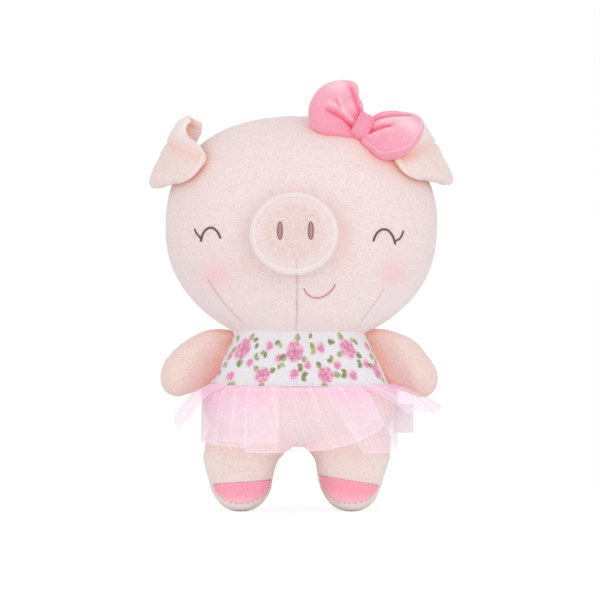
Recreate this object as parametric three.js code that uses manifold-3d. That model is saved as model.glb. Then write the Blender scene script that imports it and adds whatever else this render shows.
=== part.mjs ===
// A plush pig that stands on its feet, in millimetres: +Z up, the face towards -Y, the floor at Z = 0.
// Every stuffed part is a sewn cover, open where it is sewn to its neighbour, round its own stuffing.

import * as THREE from 'three';
import { mergeVertices } from 'three/addons/utils/BufferGeometryUtils.js';
import Module from 'manifold-3d';

const wasm = await Module();
wasm.setup();

// Cloth and clearances
const COVER_THICKNESS = 1.8;
const SEAM_GAP = 0.3;
const JOINT_GAP = 0.5;
const NECK_GAP = 0.9;
const FLOOR_CUT = 0.5;

// Legs
const FOOT_WIDTH = 37;
const FOOT_DEPTH = 50;
const FOOT_ROUND = 20;
const THIGH_WIDTH = 54;
const THIGH_DEPTH = 54;
const ANKLE_DEPTH = 45;
const ANKLE_HEIGHT = 27;
const LEG_SPREAD = 66;
const CROTCH_HEIGHT = 38;
const CROTCH_OPENING = 3;
const HOOF_THICKNESS = 1.2;
const HOOF_BOTTOM = 2.6;
const HOOF_INNER_HEIGHT = 19;
const HOOF_OUTER_HEIGHT = 14;
const HOOF_FRONT = 6;

// Body
const SEAT_WIDTH = 116;
const SEAT_DEPTH = 68;
const WAIST_ABOVE_HIP = 5;
const WAIST_WIDTH = 105;
const WAIST_DEPTH = 66;
const BODICE_HEIGHT = 32;
const NECK_WIDTH = 75;
const NECK_DEPTH = 60;
const NECK_STUMP = 14;
const LEG_OPENING = 30;

// Head
const HEAD_WIDTH = 163;
const HEAD_DEPTH = 116;
const HEAD_CROWN_RISE = 67;
const HEAD_CHIN_DROP = 71.5;
const HEAD_SINK = 10.5;
const NECK_OPENING_WIDTH = 58;
const NECK_OPENING_DEPTH = 40;
const HEAD_NOD_ABOVE_CHIN = 47;

// Snout
const SNOUT_WIDTH = 53;
const SNOUT_HEIGHT = 48;
const SNOUT_PROUD = 15;
const SNOUT_TAPER = 2.6;
const SNOUT_EDGE = 4;
const SNOUT_DOME = 1.6;
const SNOUT_SHIFT = 3.3;
const SNOUT_DROP = 3.4;
const SNOUT_ROOT = 12;

// Embroidery
const THREAD_WIDTH = 1.3;
const FACE_SHIFT = 1.5;
const EYE_SPREAD = 106;
const EYE_WIDTH = 12.6;
const EYE_RISE = 7.8;
const EYE_DROP = 8.4;
const LASH_LENGTH = 6.4;
const NOSTRIL_SPREAD = 18.2;
const NOSTRIL_WIDTH = 3.2;
const NOSTRIL_HEIGHT = 10.5;
const NOSTRIL_RAISE = 1;
const MOUTH_WIDTH = 19;
const MOUTH_SAG = 6.8;
const MOUTH_SHIFT = 11.9;
const MOUTH_DROP = 36.4;

// Ears
const EAR_THICKNESS = 3.6;
const EAR_LENGTH = 47;
const EAR_TOP_SIDE = 66;
const EAR_TOP_RISE = 65.5;
const EAR_FOLD_FRONT = 7;
const EAR_ROOT_FRONT = 1;
const EAR_FOLD_DEPTH = 4.8;
const EAR_FLAP_FRONT = 24.5;

// Bow
const BOW_SIDE = 37;
const BOW_RISE = 60;
const BOW_FRONT = 31;
const BOW_LOOP_THICKNESS = 18;
const BOW_KNOT_LENGTH = 10;
const BOW_KNOT_HEIGHT = 17;
const BOW_KNOT_DEPTH = 14;
const LEFT_LOOP_LENGTH = 31;
const LEFT_LOOP_HEIGHT = 38;
const RIGHT_LOOP_LENGTH = 32;
const RIGHT_LOOP_HEIGHT = 31;
const BOW_THROAT_HEIGHT = 18;
const BOW_THROAT_THICKNESS = 10;
const BOW_GAP = 0.6;

// Arms
const ARM_REACH = 30;
const ARM_THICKNESS = 29;
const ARM_ROOT_ROUND = 3.5;
const ARM_TAPER_LENGTH = 17;

// Skirt
const TULLE_THICKNESS = 0.6;
const SKIRT_LENGTH = 38;
const OVER_SKIRT_LENGTH = 33;
const SKIRT_FRONT_DIP = 2.5;
const SKIRT_FRONT_FLARE = 6;
const SKIRT_SIDE_FLARE = 1;
const SKIRT_BACK_FLARE = 13;
const OVER_WING_FLARE = 19;
const UNDER_WING_FLARE = 6;
const SKIRT_FOLD = 1.2;
const SKIRT_POINT = 3;
const LAYER_SPACING = 1.4;
const LAYER_SPREAD = 1;
const WAISTBAND_GAP = 0.4;

// Tail
const TAIL_THICKNESS = 4.4;
const TAIL_CURL_RADIUS = 5.4;
const TAIL_TIP_RADIUS = 3;
const TAIL_RISE = 4.5;
const TAIL_DROP = 12;

// Side label
const LABEL_WIDTH = 11.5;
const LABEL_HEIGHT = 17;
const LABEL_PLY = 0.7;
const LABEL_SPACE = 0.8;
const LABEL_DROP = 13;

// Shapes without a unit
const CROWN_POWER_SHARE = 2.3;
const CHIN_POWER_SHARE = 2.05;
const HEAD_ROUND_POWER_SHARE = 2.2;
const BODY_POWER_SHARE = 3;
const LEG_POWER_SHARE = 2.6;
const FOOT_FRONT_POWER_SHARE = 2.2;
const FOOT_SIDE_POWER_SHARE = 5;
const THIGH_SPREAD_POWER_SHARE = 3.6;
const PILLOW_POWER_SHARE = 2.2;
const LASH_OUT_SHARE = 0.62;
const LASH_UP_SHARE = 0.78;
const EAR_LEAN_POWER_SHARE = 1.5;
const LOOP_TAPER_SHARE = 0.4;
const LOOP_MIDDLE_SHARE = 0.55;
const LOOP_SWELL_SHARE = 0.5;
const KNOT_ROUND_POWER_SHARE = 0.8;
const TAIL_TURNS = 1.25;
const TAIL_TIP_THICKNESS_SHARE = 0.6;
const BACK_FLARE_POWER_SHARE = 0.6;
const WING_POWER_SHARE = 1.2;
const ARM_ROOT_THICKNESS_SHARE = 0.4;
const RIGHT_WING_SHARE = 1.35;
const SIDE_FOLD_SHARE = 0.3;
const NOD_LIMIT_ANGLE = 8;
const ARM_LIMIT_ANGLE = 35;
const EAR_LIFT_ANGLE = 25;
const RIGHT_EAR_LIFT_ANGLE = 8;
const LEG_WEDGE_ANGLE = 58;
const BOW_TILT_ANGLE = 30;
const RIGHT_LOOP_FRONT_ANGLE = 16;
const BOW_LEAN_ANGLE = 26;
const BOW_TURN_ANGLE = 13;
const WING_ANGLE = 32;
const WING_SPREAD_ANGLE = 13;
const HEM_LIFT_ANGLE = 26;
const RIGHT_HEM_LIFT_SPREAD_ANGLE = 32;
const LEFT_HEM_LIFT_SPREAD_ANGLE = 22;
const HEM_LIFT_SHARE = 0.45;
const SKIRT_FOLD_COUNT = 14;
const INNER_RINGS = 12;
const INNER_SEGMENTS = 24;

// Places that follow from the sizes above
const MIDDLE_Y = SNOUT_PROUD / 2;
const HIP_HEIGHT = CROTCH_HEIGHT + SEAT_DEPTH / 2;
const WAIST_HEIGHT = HIP_HEIGHT + WAIST_ABOVE_HIP;
const NECK_HEIGHT = WAIST_HEIGHT + BODICE_HEIGHT;
const CHIN_HEIGHT = NECK_HEIGHT - HEAD_SINK;
const HEAD_HEIGHT = CHIN_HEIGHT + HEAD_CHIN_DROP;
const NOD_HEIGHT = CHIN_HEIGHT + HEAD_NOD_ABOVE_CHIN;
const WHOLE_HEIGHT = HEAD_HEIGHT + HEAD_CROWN_RISE;

const vec = (x, y, z) => new THREE.Vector3(x, y, z);
const radians = (degrees) => THREE.MathUtils.degToRad(degrees);
const { lerp, smoothstep } = THREE.MathUtils;
const signedPower = (value, power) => Math.sign(value) * Math.abs(value) ** power;

// The rest of a unit superellipse: the one share for which share and rest lie on it
function superRest(share, power) {
  return Math.max(0, 1 - Math.min(1, Math.abs(share)) ** power) ** (1 / power);
}

// Meshes

function meshGeometry(points, index) {
  const geometry = new THREE.BufferGeometry();
  const positions = points.flatMap((point) => point.toArray());
  geometry.setAttribute('position', new THREE.Float32BufferAttribute(positions, 3));
  geometry.setIndex(index);
  return geometry;
}

function signedVolume(geometry) {
  const position = geometry.getAttribute('position');
  const corners = [vec(0, 0, 0), vec(0, 0, 0), vec(0, 0, 0)];
  let volume = 0;
  for (let i = 0; i < geometry.index.count; i += 3) {
    corners.forEach((corner, k) => corner.fromBufferAttribute(position, geometry.index.getX(i + k)));
    volume += corners[0].dot(corners[1].clone().cross(corners[2])) / 6;
  }
  return volume;
}

// Turns the faces of a closed mesh outwards
function outward(geometry) {
  if (signedVolume(geometry) > 0) {
    return geometry;
  }
  const { array } = geometry.index;
  for (let i = 0; i < array.length; i += 3) {
    [array[i], array[i + 1]] = [array[i + 1], array[i]];
  }
  return geometry;
}

// A closed skin over rings of equally many points, with a pole at each end
function loft(rings, firstPole, lastPole) {
  const count = rings[0].length;
  const at = (ring, k) => 1 + ring * count + (k % count);
  const lastRing = rings.length - 1;
  const lastIndex = 1 + rings.length * count;
  const index = [];
  for (let k = 0; k < count; k++) {
    index.push(0, at(0, k + 1), at(0, k));
    index.push(lastIndex, at(lastRing, k), at(lastRing, k + 1));
    for (let ring = 0; ring < lastRing; ring++) {
      index.push(at(ring, k), at(ring, k + 1), at(ring + 1, k + 1));
      index.push(at(ring, k), at(ring + 1, k + 1), at(ring + 1, k));
    }
  }
  return outward(meshGeometry([firstPole, ...rings.flat(), lastPole], index));
}

// A closed cloth on both sides of a middle surface. A band joins its last column to its first.
function cloth(pointAt, columns, rows, thickness, isBand = false) {
  const columnCount = isBand ? columns : columns + 1;
  const rowCount = rows + 1;
  const middle = [];
  for (let i = 0; i < columnCount; i++) {
    for (let j = 0; j < rowCount; j++) {
      middle.push(pointAt(i / columns, j / rows));
    }
  }
  const at = (i, j) => (isBand ? (i + columns) % columns : i) * rowCount + j;
  const clamp = (value, top) => Math.min(Math.max(value, 0), top);
  const column = (i) => (isBand ? i : clamp(i, columns));
  const normals = middle.map((point, k) => {
    const i = Math.floor(k / rowCount);
    const j = k % rowCount;
    const along = middle[at(column(i + 1), j)].clone().sub(middle[at(column(i - 1), j)]);
    const down = middle[at(i, clamp(j + 1, rows))].clone().sub(middle[at(i, clamp(j - 1, rows))]);
    return along.cross(down).normalize();
  });
  const front = middle.map((point, k) => point.clone().addScaledVector(normals[k], thickness / 2));
  const back = middle.map((point, k) => point.clone().addScaledVector(normals[k], -thickness / 2));
  const behind = middle.length;
  const index = [];
  const quad = (a, b, c, d) => index.push(a, b, c, a, c, d);
  for (let i = 0; i < columns; i++) {
    for (let j = 0; j < rows; j++) {
      const [a, b, c, d] = [at(i, j), at(i + 1, j), at(i + 1, j + 1), at(i, j + 1)];
      quad(a, b, c, d);
      quad(behind + d, behind + c, behind + b, behind + a);
    }
    quad(at(i, 0), behind + at(i, 0), behind + at(i + 1, 0), at(i + 1, 0));
    quad(at(i + 1, rows), behind + at(i + 1, rows), behind + at(i, rows), at(i, rows));
  }
  for (let j = 0; j < rows && !isBand; j++) {
    quad(at(0, j + 1), behind + at(0, j + 1), behind + at(0, j), at(0, j));
    quad(at(columns, j), behind + at(columns, j), behind + at(columns, j + 1), at(columns, j + 1));
  }
  return outward(meshGeometry([...front, ...back], index));
}

// A stuffed cushion over a flat outline: rings of the outline, drawn in towards both faces.
// place(u, v, rise) gives the point over (u, v), rise being a share of the half thickness from -1 to 1.
function pillow(outline, centre, ringCount, place) {
  const rings = [];
  for (let ring = 1; ring < ringCount; ring++) {
    const angle = lerp(-Math.PI / 2, Math.PI / 2, ring / ringCount);
    const spread = Math.cos(angle) ** (2 / PILLOW_POWER_SHARE);
    const rise = signedPower(Math.sin(angle), 2 / PILLOW_POWER_SHARE);
    rings.push(outline.map((p) =>
      place(lerp(centre.x, p.x, spread), lerp(centre.y, p.y, spread), rise)));
  }
  return loft(rings, place(centre.x, centre.y, -1), place(centre.x, centre.y, 1));
}

// A closed tube along a run of points, its radius given at each share of the run
function tube(points, sides, radiusAt) {
  const run = new THREE.CatmullRomCurve3(points);
  const steps = (points.length - 1) * 2;
  const frames = run.computeFrenetFrames(steps, false);
  const rings = [];
  for (let step = 0; step <= steps; step++) {
    const share = step / steps;
    const centre = run.getPointAt(share);
    rings.push(Array.from({ length: sides }, (_, k) => {
      const angle = (k / sides) * 2 * Math.PI;
      return centre.clone()
        .addScaledVector(frames.normals[step], Math.cos(angle) * radiusAt(share))
        .addScaledVector(frames.binormals[step], Math.sin(angle) * radiusAt(share));
    }));
  }
  const nose = (step, share, sign) => run.getPointAt(share)
    .addScaledVector(frames.tangents[step], sign * radiusAt(share) / 2);
  return loft(rings, nose(0, 0, -1), nose(steps, 1, 1));
}

// Solids that join and cut

function solidOf(geometry) {
  const plain = geometry.clone();
  plain.deleteAttribute('normal');
  plain.deleteAttribute('uv');
  const merged = outward(mergeVertices(plain));
  const mesh = new wasm.Mesh({
    numProp: 3,
    vertProperties: Float32Array.from(merged.getAttribute('position').array),
    triVerts: Uint32Array.from(merged.index.array),
  });
  return new wasm.Manifold(mesh);
}

function geometryOf(solid) {
  const { numProp, vertProperties, triVerts } = solid.getMesh();
  const geometry = new THREE.BufferGeometry();
  const positions = new Float32Array((vertProperties.length / numProp) * 3);
  for (let i = 0; i < positions.length / 3; i++) {
    positions.set(vertProperties.subarray(i * numProp, i * numProp + 3), i * 3);
  }
  geometry.setAttribute('position', new THREE.BufferAttribute(positions, 3));
  geometry.setIndex(new THREE.BufferAttribute(triVerts, 1));
  return geometry;
}

function boxSolid(low, high, turn = new THREE.Matrix4()) {
  const size = high.clone().sub(low);
  const box = new THREE.BoxGeometry(size.x, size.y, size.z);
  box.translate((low.x + high.x) / 2, (low.y + high.y) / 2, (low.z + high.z) / 2);
  return solidOf(box.applyMatrix4(turn));
}

function ovalPost(centre, width, depth, bottom, top) {
  const post = new THREE.CylinderGeometry(1, 1, 1, 32).rotateX(Math.PI / 2);
  post.scale(width / 2, depth / 2, top - bottom);
  return solidOf(post.translate(centre.x, centre.y, (bottom + top) / 2));
}

// A turn about an axis that passes through a point
function turnAbout(point, axis, degrees) {
  const away = new THREE.Matrix4().makeTranslation(-point.x, -point.y, -point.z);
  const turn = new THREE.Matrix4().makeRotationAxis(axis.clone().normalize(), radians(degrees));
  return new THREE.Matrix4().makeTranslation(point.x, point.y, point.z).multiply(turn).multiply(away);
}

// Cuts away what the geometry would meet while it turns from one limit to the other
function cutBySweep(solid, geometry, hinge, from, to, steps) {
  let result = solid;
  for (let step = 0; step <= steps; step++) {
    const turn = turnAbout(hinge.point, hinge.axis, lerp(from, to, step / steps));
    result = result.subtract(solidOf(geometry.clone().applyMatrix4(turn)));
  }
  return result;
}

function mirrored(geometry) {
  return outward(geometry.clone().applyMatrix4(new THREE.Matrix4().makeScale(-1, 1, 1)));
}

// Head: round, wider than high, fuller at the crown than at the chin

function headGeometry(grow, ringCount = 16, segments = 36) {
  const pointAt = (latitude, longitude) => {
    const above = latitude > 0;
    const power = above ? CROWN_POWER_SHARE : CHIN_POWER_SHARE;
    const tall = (above ? HEAD_CROWN_RISE : HEAD_CHIN_DROP) + grow;
    const ring = Math.cos(latitude) ** (2 / power);
    return vec(
      (HEAD_WIDTH / 2 + grow) * ring * signedPower(Math.cos(longitude), 2 / HEAD_ROUND_POWER_SHARE),
      MIDDLE_Y + (HEAD_DEPTH / 2 + grow) * ring
        * signedPower(Math.sin(longitude), 2 / HEAD_ROUND_POWER_SHARE),
      HEAD_HEIGHT + tall * signedPower(Math.sin(latitude), 2 / power));
  };
  const rings = [];
  for (let ring = 1; ring < ringCount; ring++) {
    const latitude = lerp(-Math.PI / 2, Math.PI / 2, ring / ringCount);
    rings.push(Array.from({ length: segments }, (_, k) =>
      pointAt(latitude, (k / segments) * 2 * Math.PI)));
  }
  return loft(rings, vec(0, MIDDLE_Y, CHIN_HEIGHT - grow), vec(0, MIDDLE_Y, WHOLE_HEIGHT + grow));
}

// The Y of the head's front over (x, z)
function headFront(x, z, grow) {
  const rise = z - HEAD_HEIGHT;
  const above = rise > 0;
  const tall = (above ? HEAD_CROWN_RISE : HEAD_CHIN_DROP) + grow;
  const ring = superRest(rise / tall, above ? CROWN_POWER_SHARE : CHIN_POWER_SHARE);
  const side = Math.abs(x) / (HEAD_WIDTH / 2 + grow);
  const inner = Math.max(0, ring ** HEAD_ROUND_POWER_SHARE - side ** HEAD_ROUND_POWER_SHARE);
  return MIDDLE_Y - (HEAD_DEPTH / 2 + grow) * inner ** (1 / HEAD_ROUND_POWER_SHARE);
}

const nodHinge = { point: vec(0, MIDDLE_Y, NOD_HEIGHT), axis: vec(1, 0, 0) };

function headCover() {
  const neckOpening = ovalPost(vec(0, MIDDLE_Y, 0), NECK_OPENING_WIDTH, NECK_OPENING_DEPTH,
    CHIN_HEIGHT - COVER_THICKNESS, HEAD_HEIGHT);
  const inside = solidOf(headGeometry(-COVER_THICKNESS, INNER_RINGS, INNER_SEGMENTS));
  return solidOf(headGeometry(0)).subtract(inside).subtract(neckOpening);
}

function headStuffing() {
  return solidOf(headGeometry(-COVER_THICKNESS - SEAM_GAP, INNER_RINGS, INNER_SEGMENTS));
}

// Snout: an oval drum with a tapered band, a rounded edge and a slightly domed face

function snoutGeometry(grow, reach) {
  const centreX = -SNOUT_SHIFT;
  const centreZ = HEAD_HEIGHT - SNOUT_DROP;
  const faceY = MIDDLE_Y - HEAD_DEPTH / 2 - SNOUT_PROUD - grow;
  const rootY = faceY + SNOUT_PROUD + reach;
  const edge = SNOUT_EDGE + grow;
  const segments = 26;
  const ringAt = (y, inset) => Array.from({ length: segments }, (_, k) => {
    const angle = (k / segments) * 2 * Math.PI;
    return vec(
      centreX + (SNOUT_WIDTH / 2 + grow - inset) * Math.cos(angle), y,
      centreZ + (SNOUT_HEIGHT / 2 + grow - inset) * Math.sin(angle));
  });
  const rings = [ringAt(rootY, 0), ringAt(faceY + SNOUT_PROUD + SNOUT_ROOT, 0),
    ringAt(faceY + edge + SNOUT_DOME, SNOUT_TAPER)];
  const edgeSteps = 4;
  for (let step = 1; step <= edgeSteps; step++) {
    const angle = (step / edgeSteps) * (Math.PI / 2);
    rings.push(ringAt(faceY + SNOUT_DOME + edge * (1 - Math.sin(angle)),
      SNOUT_TAPER + edge * (1 - Math.cos(angle))));
  }
  return loft(rings, vec(centreX, rootY, centreZ), vec(centreX, faceY, centreZ));
}

function snoutCover() {
  return solidOf(snoutGeometry(0, SNOUT_ROOT * 1.5))
    .subtract(solidOf(snoutGeometry(-COVER_THICKNESS, SNOUT_ROOT * 2)))
    .subtract(solidOf(headGeometry(SEAM_GAP)));
}

function snoutStuffing() {
  return solidOf(snoutGeometry(-COVER_THICKNESS - SEAM_GAP, SNOUT_ROOT * 1.5))
    .subtract(solidOf(headGeometry(SEAM_GAP)));
}

// Embroidery: raised satin stitch that follows the cloth below it

function stitchOnHead(points) {
  const radius = THREAD_WIDTH / 2;
  const run = points.map(([x, z]) => vec(x, headFront(x, z, SEAM_GAP) - radius, z));
  return tube(run, 5, () => radius);
}

function eye(side) {
  const centreX = -FACE_SHIFT + side * EYE_SPREAD / 2;
  const baseZ = HEAD_HEIGHT - EYE_DROP;
  const steps = 5;
  const arc = Array.from({ length: steps + 1 }, (_, k) => {
    const angle = Math.PI * (k / steps);
    return [centreX + side * Math.cos(angle) * EYE_WIDTH / 2, baseZ + Math.sin(angle) * EYE_RISE];
  });
  const [outerX, outerZ] = arc[0];
  const lash = [0, 0.5, 1].map((share) =>
    [outerX + side * share * LASH_LENGTH * LASH_OUT_SHARE - side * THREAD_WIDTH / 2,
      outerZ + THREAD_WIDTH + share * LASH_LENGTH * LASH_UP_SHARE]);
  return solidOf(stitchOnHead(arc)).add(solidOf(stitchOnHead(lash)));
}

function mouth() {
  const steps = 6;
  const curve = Array.from({ length: steps + 1 }, (_, k) => {
    const share = k / steps * 2 - 1;
    return [MOUTH_SHIFT + share * MOUTH_WIDTH / 2,
      HEAD_HEIGHT - MOUTH_DROP - MOUTH_SAG * (1 - share ** 2) + share * THREAD_WIDTH];
  });
  return solidOf(stitchOnHead(curve));
}

// The snout's face is domed, so each nostril is a flat oval pad that keeps a seam's gap to it
function nostril(side) {
  const faceY = MIDDLE_Y - HEAD_DEPTH / 2 - SNOUT_PROUD;
  const ball = new THREE.SphereGeometry(1, 12, 8);
  ball.scale(NOSTRIL_WIDTH / 2, THREAD_WIDTH, NOSTRIL_HEIGHT / 2);
  ball.translate(-SNOUT_SHIFT + side * NOSTRIL_SPREAD / 2, faceY + THREAD_WIDTH / 2,
    HEAD_HEIGHT - SNOUT_DROP + NOSTRIL_RAISE);
  return solidOf(ball).subtract(solidOf(snoutGeometry(SEAM_GAP, SNOUT_ROOT)));
}

// Ears: one thick cloth that leaves the head's side seam, turns round its outer fold and
// comes back over the front of the head as a flap

// Lines of the ear as shares of its length, outwards and down from the top of its fold
const ROOT_SHARES = [[-0.1, 0.04], [-0.14, 0.17], [0.3, 0.79]];
const FOLD_SHARES = [[-0.03, 0], [0.1, 0.05], [0.19, 0.16], [0.28, 0.33], [0.38, 0.53], [0.46, 0.7],
  [0.49, 0.82], [0.43, 0.88]];
const FLAP_SHARES = [[0.02, 0.03], [0.07, 0.16], [0, 0.3], [-0.15, 0.375], [-0.22, 0.49],
  [-0.18, 0.59], [-0.04, 0.74], [0.14, 0.785], [0.33, 0.8]];

const earLine = (shares, y) => new THREE.CatmullRomCurve3(shares.map(([out, down]) =>
  vec(EAR_TOP_SIDE + out * EAR_LENGTH, y, HEAD_HEIGHT + EAR_TOP_RISE - down * EAR_LENGTH)));
const earRoot = earLine(ROOT_SHARES, MIDDLE_Y - EAR_ROOT_FRONT);
const earFold = earLine(FOLD_SHARES, MIDDLE_Y - EAR_FOLD_FRONT);
const earFlap = earLine(FLAP_SHARES, MIDDLE_Y - EAR_FOLD_FRONT);

// across runs from the root at -1 over the fold at 0 to the flap's edge at 1
function earPoint(along, across) {
  const fold = earFold.getPoint(along);
  if (across < 0) {
    return earRoot.getPointAt(along).lerp(fold, 1 + across);
  }
  const point = fold.clone().lerp(earFlap.getPoint(along), across);
  const turn = Math.sin(Math.min(1, across * 3) * Math.PI / 2);
  const forward = Math.sin(Math.PI * along ** EAR_LEAN_POWER_SHARE) * Math.sin(across * Math.PI / 2);
  point.y = fold.y - EAR_FOLD_DEPTH * turn - EAR_FLAP_FRONT * forward;
  return point;
}

const [, earRootTop, earRootEnd] = earRoot.points;
const earHinge = { point: earRootTop, axis: earRootTop.clone().sub(earRootEnd).normalize() };

function earSolid() {
  const sheet = cloth((u, v) => earPoint(u, v * 2 - 1), 10, 10, EAR_THICKNESS);
  return cutBySweep(solidOf(sheet), headGeometry(JOINT_GAP), earHinge, 0, -EAR_LIFT_ANGLE, 2);
}

// The right ear lies behind the bow, which stops it sooner
function rightEarSolid(loop) {
  return cutBySweep(earSolid(), loop, earHinge, 0, -RIGHT_EAR_LIFT_ANGLE, 2);
}

// Bow: two stuffed loops, drawn in at a knot band, on a plane that leans back over the crown

const bowFrame = new THREE.Matrix4()
  .makeTranslation(BOW_SIDE, MIDDLE_Y - BOW_FRONT, HEAD_HEIGHT + BOW_RISE)
  .multiply(new THREE.Matrix4().makeRotationZ(radians(BOW_TURN_ANGLE)))
  .multiply(new THREE.Matrix4().makeRotationX(radians(-BOW_LEAN_ANGLE)))
  .multiply(new THREE.Matrix4().makeRotationY(radians(BOW_TILT_ANGLE)));

// Each loop's outline: shares of its length from the knot, and of its half height there
const LEFT_LOOP_SHARES = [[-0.08, 1], [0.14, 1.5], [0.3, 1.38], [0.59, 1.16], [0.87, 0.64], [0.93, 0],
  [0.86, -0.42], [0.72, -0.72], [0.48, -0.82], [0.09, -1.08], [-0.08, -0.95]];
const RIGHT_LOOP_SHARES = [[-0.08, 0.95], [0.2, 1.42], [0.49, 1.36], [0.77, 1.28], [0.88, 0.98], [0.9, 0.62],
  [0.86, 0.02], [0.77, -0.36], [0.59, -0.7], [0.36, -0.92], [0.12, -1.17], [-0.08, -1]];

function bowLoop(side, shares, length, height, front, grow = 0) {
  const start = BOW_KNOT_LENGTH / 2 + SEAM_GAP;
  const corners = shares.map(([along, across]) => {
    const spread = lerp(BOW_THROAT_HEIGHT, height, smoothstep(along, 0, LOOP_TAPER_SHARE)) / 2;
    return vec(side * (start + along * length), across * spread, 0);
  });
  const count = 26;
  const centre = vec(side * (start + length * LOOP_MIDDLE_SHARE), 0, 0);
  const outline = new THREE.CatmullRomCurve3(corners, true).getSpacedPoints(count).slice(0, count)
    .map((p) => p.addScaledVector(p.clone().sub(centre).normalize(), grow));
  const place = (u, v, rise) => {
    const out = smoothstep(Math.abs(u) - start, 0, length * LOOP_SWELL_SHARE);
    return vec(u, rise * (lerp(BOW_THROAT_THICKNESS, BOW_LOOP_THICKNESS, out) / 2 + grow), v);
  };
  return pillow(outline, centre, 8, place).rotateZ(radians(-front)).applyMatrix4(bowFrame);
}

function bowKnot(grow) {
  const segments = 20;
  const halfLength = BOW_KNOT_LENGTH / 2 + grow;
  const ringAt = (x, scale) => Array.from({ length: segments }, (_, k) => {
    const angle = (k / segments) * 2 * Math.PI;
    return vec(x,
      signedPower(Math.cos(angle), KNOT_ROUND_POWER_SHARE) * scale * (BOW_KNOT_DEPTH / 2 + grow),
      signedPower(Math.sin(angle), KNOT_ROUND_POWER_SHARE) * scale * (BOW_KNOT_HEIGHT / 2 + grow));
  });
  const shares = [[-1, 0.84], [-0.8, 0.95], [0, 1], [0.8, 0.95], [1, 0.84]];
  const rings = shares.map(([along, scale]) => ringAt(along * halfLength, scale));
  const ends = [-1, 1].map((side) => vec(side * halfLength, 0, 0));
  return solidOf(loft(rings, ends[0], ends[1]).applyMatrix4(bowFrame));
}

// Body: a pear whose seat is turned about the hip line, so that the legs can swing round it

function bodyGeometry(grow, segments = 32) {
  const turn = (k) => (k / segments) * 2 * Math.PI;
  const width = SEAT_WIDTH / 2 + grow;
  const depth = SEAT_DEPTH / 2 + grow;
  const rings = [];
  const seatRings = 7;
  for (let ring = 1; ring <= seatRings; ring++) {
    const angle = (ring / seatRings) * (Math.PI / 2);
    const drop = depth * Math.cos(angle) ** (2 / BODY_POWER_SHARE);
    const reach = width * superRest(drop / depth, BODY_POWER_SHARE);
    rings.push(Array.from({ length: segments }, (_, k) => {
      const x = reach * signedPower(Math.cos(turn(k)), 2 / BODY_POWER_SHARE);
      const radius = depth * superRest(x / width, BODY_POWER_SHARE);
      const y = Math.sqrt(Math.max(0, radius ** 2 - drop ** 2)) * Math.sign(Math.sin(turn(k)));
      return vec(x, MIDDLE_Y + (Math.abs(Math.sin(turn(k))) < 1e-9 ? 0 : y), HIP_HEIGHT - drop);
    }));
  }
  const levels = [
    [WAIST_HEIGHT, WAIST_WIDTH, WAIST_DEPTH],
    [(WAIST_HEIGHT + NECK_HEIGHT) / 2, (WAIST_WIDTH + NECK_WIDTH) / 2, WAIST_DEPTH],
    [NECK_HEIGHT, NECK_WIDTH, NECK_DEPTH],
    [NECK_HEIGHT + NECK_STUMP, NECK_WIDTH - NECK_STUMP, NECK_DEPTH - NECK_STUMP],
  ];
  for (const [z, levelWidth, levelDepth] of levels) {
    rings.push(Array.from({ length: segments }, (_, k) => vec(
      (levelWidth / 2 + grow) * signedPower(Math.cos(turn(k)), 2 / BODY_POWER_SHARE),
      MIDDLE_Y + (levelDepth / 2 + grow) * signedPower(Math.sin(turn(k)), 2 / BODY_POWER_SHARE),
      z)));
  }
  return loft(rings, vec(0, MIDDLE_Y, HIP_HEIGHT - depth), vec(0, MIDDLE_Y, NECK_HEIGHT + NECK_STUMP));
}

// The head's underside is nearly round about the nod line, so one cut clears it at every angle
function clearOfHead(solid) {
  return solid.subtract(solidOf(headGeometry(NECK_GAP)));
}

function bodyShell() {
  return solidOf(bodyGeometry(0)).subtract(solidOf(bodyGeometry(-COVER_THICKNESS, INNER_SEGMENTS)));
}

function beyond(low, high) {
  return boxSolid(vec(-SEAT_WIDTH, -SEAT_WIDTH, low), vec(SEAT_WIDTH, SEAT_WIDTH, high));
}

function bodiceCover() {
  const above = beyond(WAIST_HEIGHT + SEAM_GAP, WHOLE_HEIGHT);
  return clearOfHead(bodyShell().intersect(above));
}

function seatCover() {
  let cover = bodyShell().intersect(beyond(0, WAIST_HEIGHT));
  for (const side of [-1, 1]) {
    const opening = ovalPost(vec(side * LEG_SPREAD / 2, MIDDLE_Y, 0), LEG_OPENING, LEG_OPENING, 0, HIP_HEIGHT);
    cover = cover.subtract(opening);
  }
  return cover;
}

function bodyStuffing() {
  return clearOfHead(solidOf(bodyGeometry(-COVER_THICKNESS - SEAM_GAP, INNER_SEGMENTS)));
}

// Legs: round at the foot, drawn in at the ankle, widening to the seat

const legOutside = (LEG_SPREAD + FOOT_WIDTH) / 2 + (THIGH_WIDTH - FOOT_WIDTH) / 4;

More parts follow.
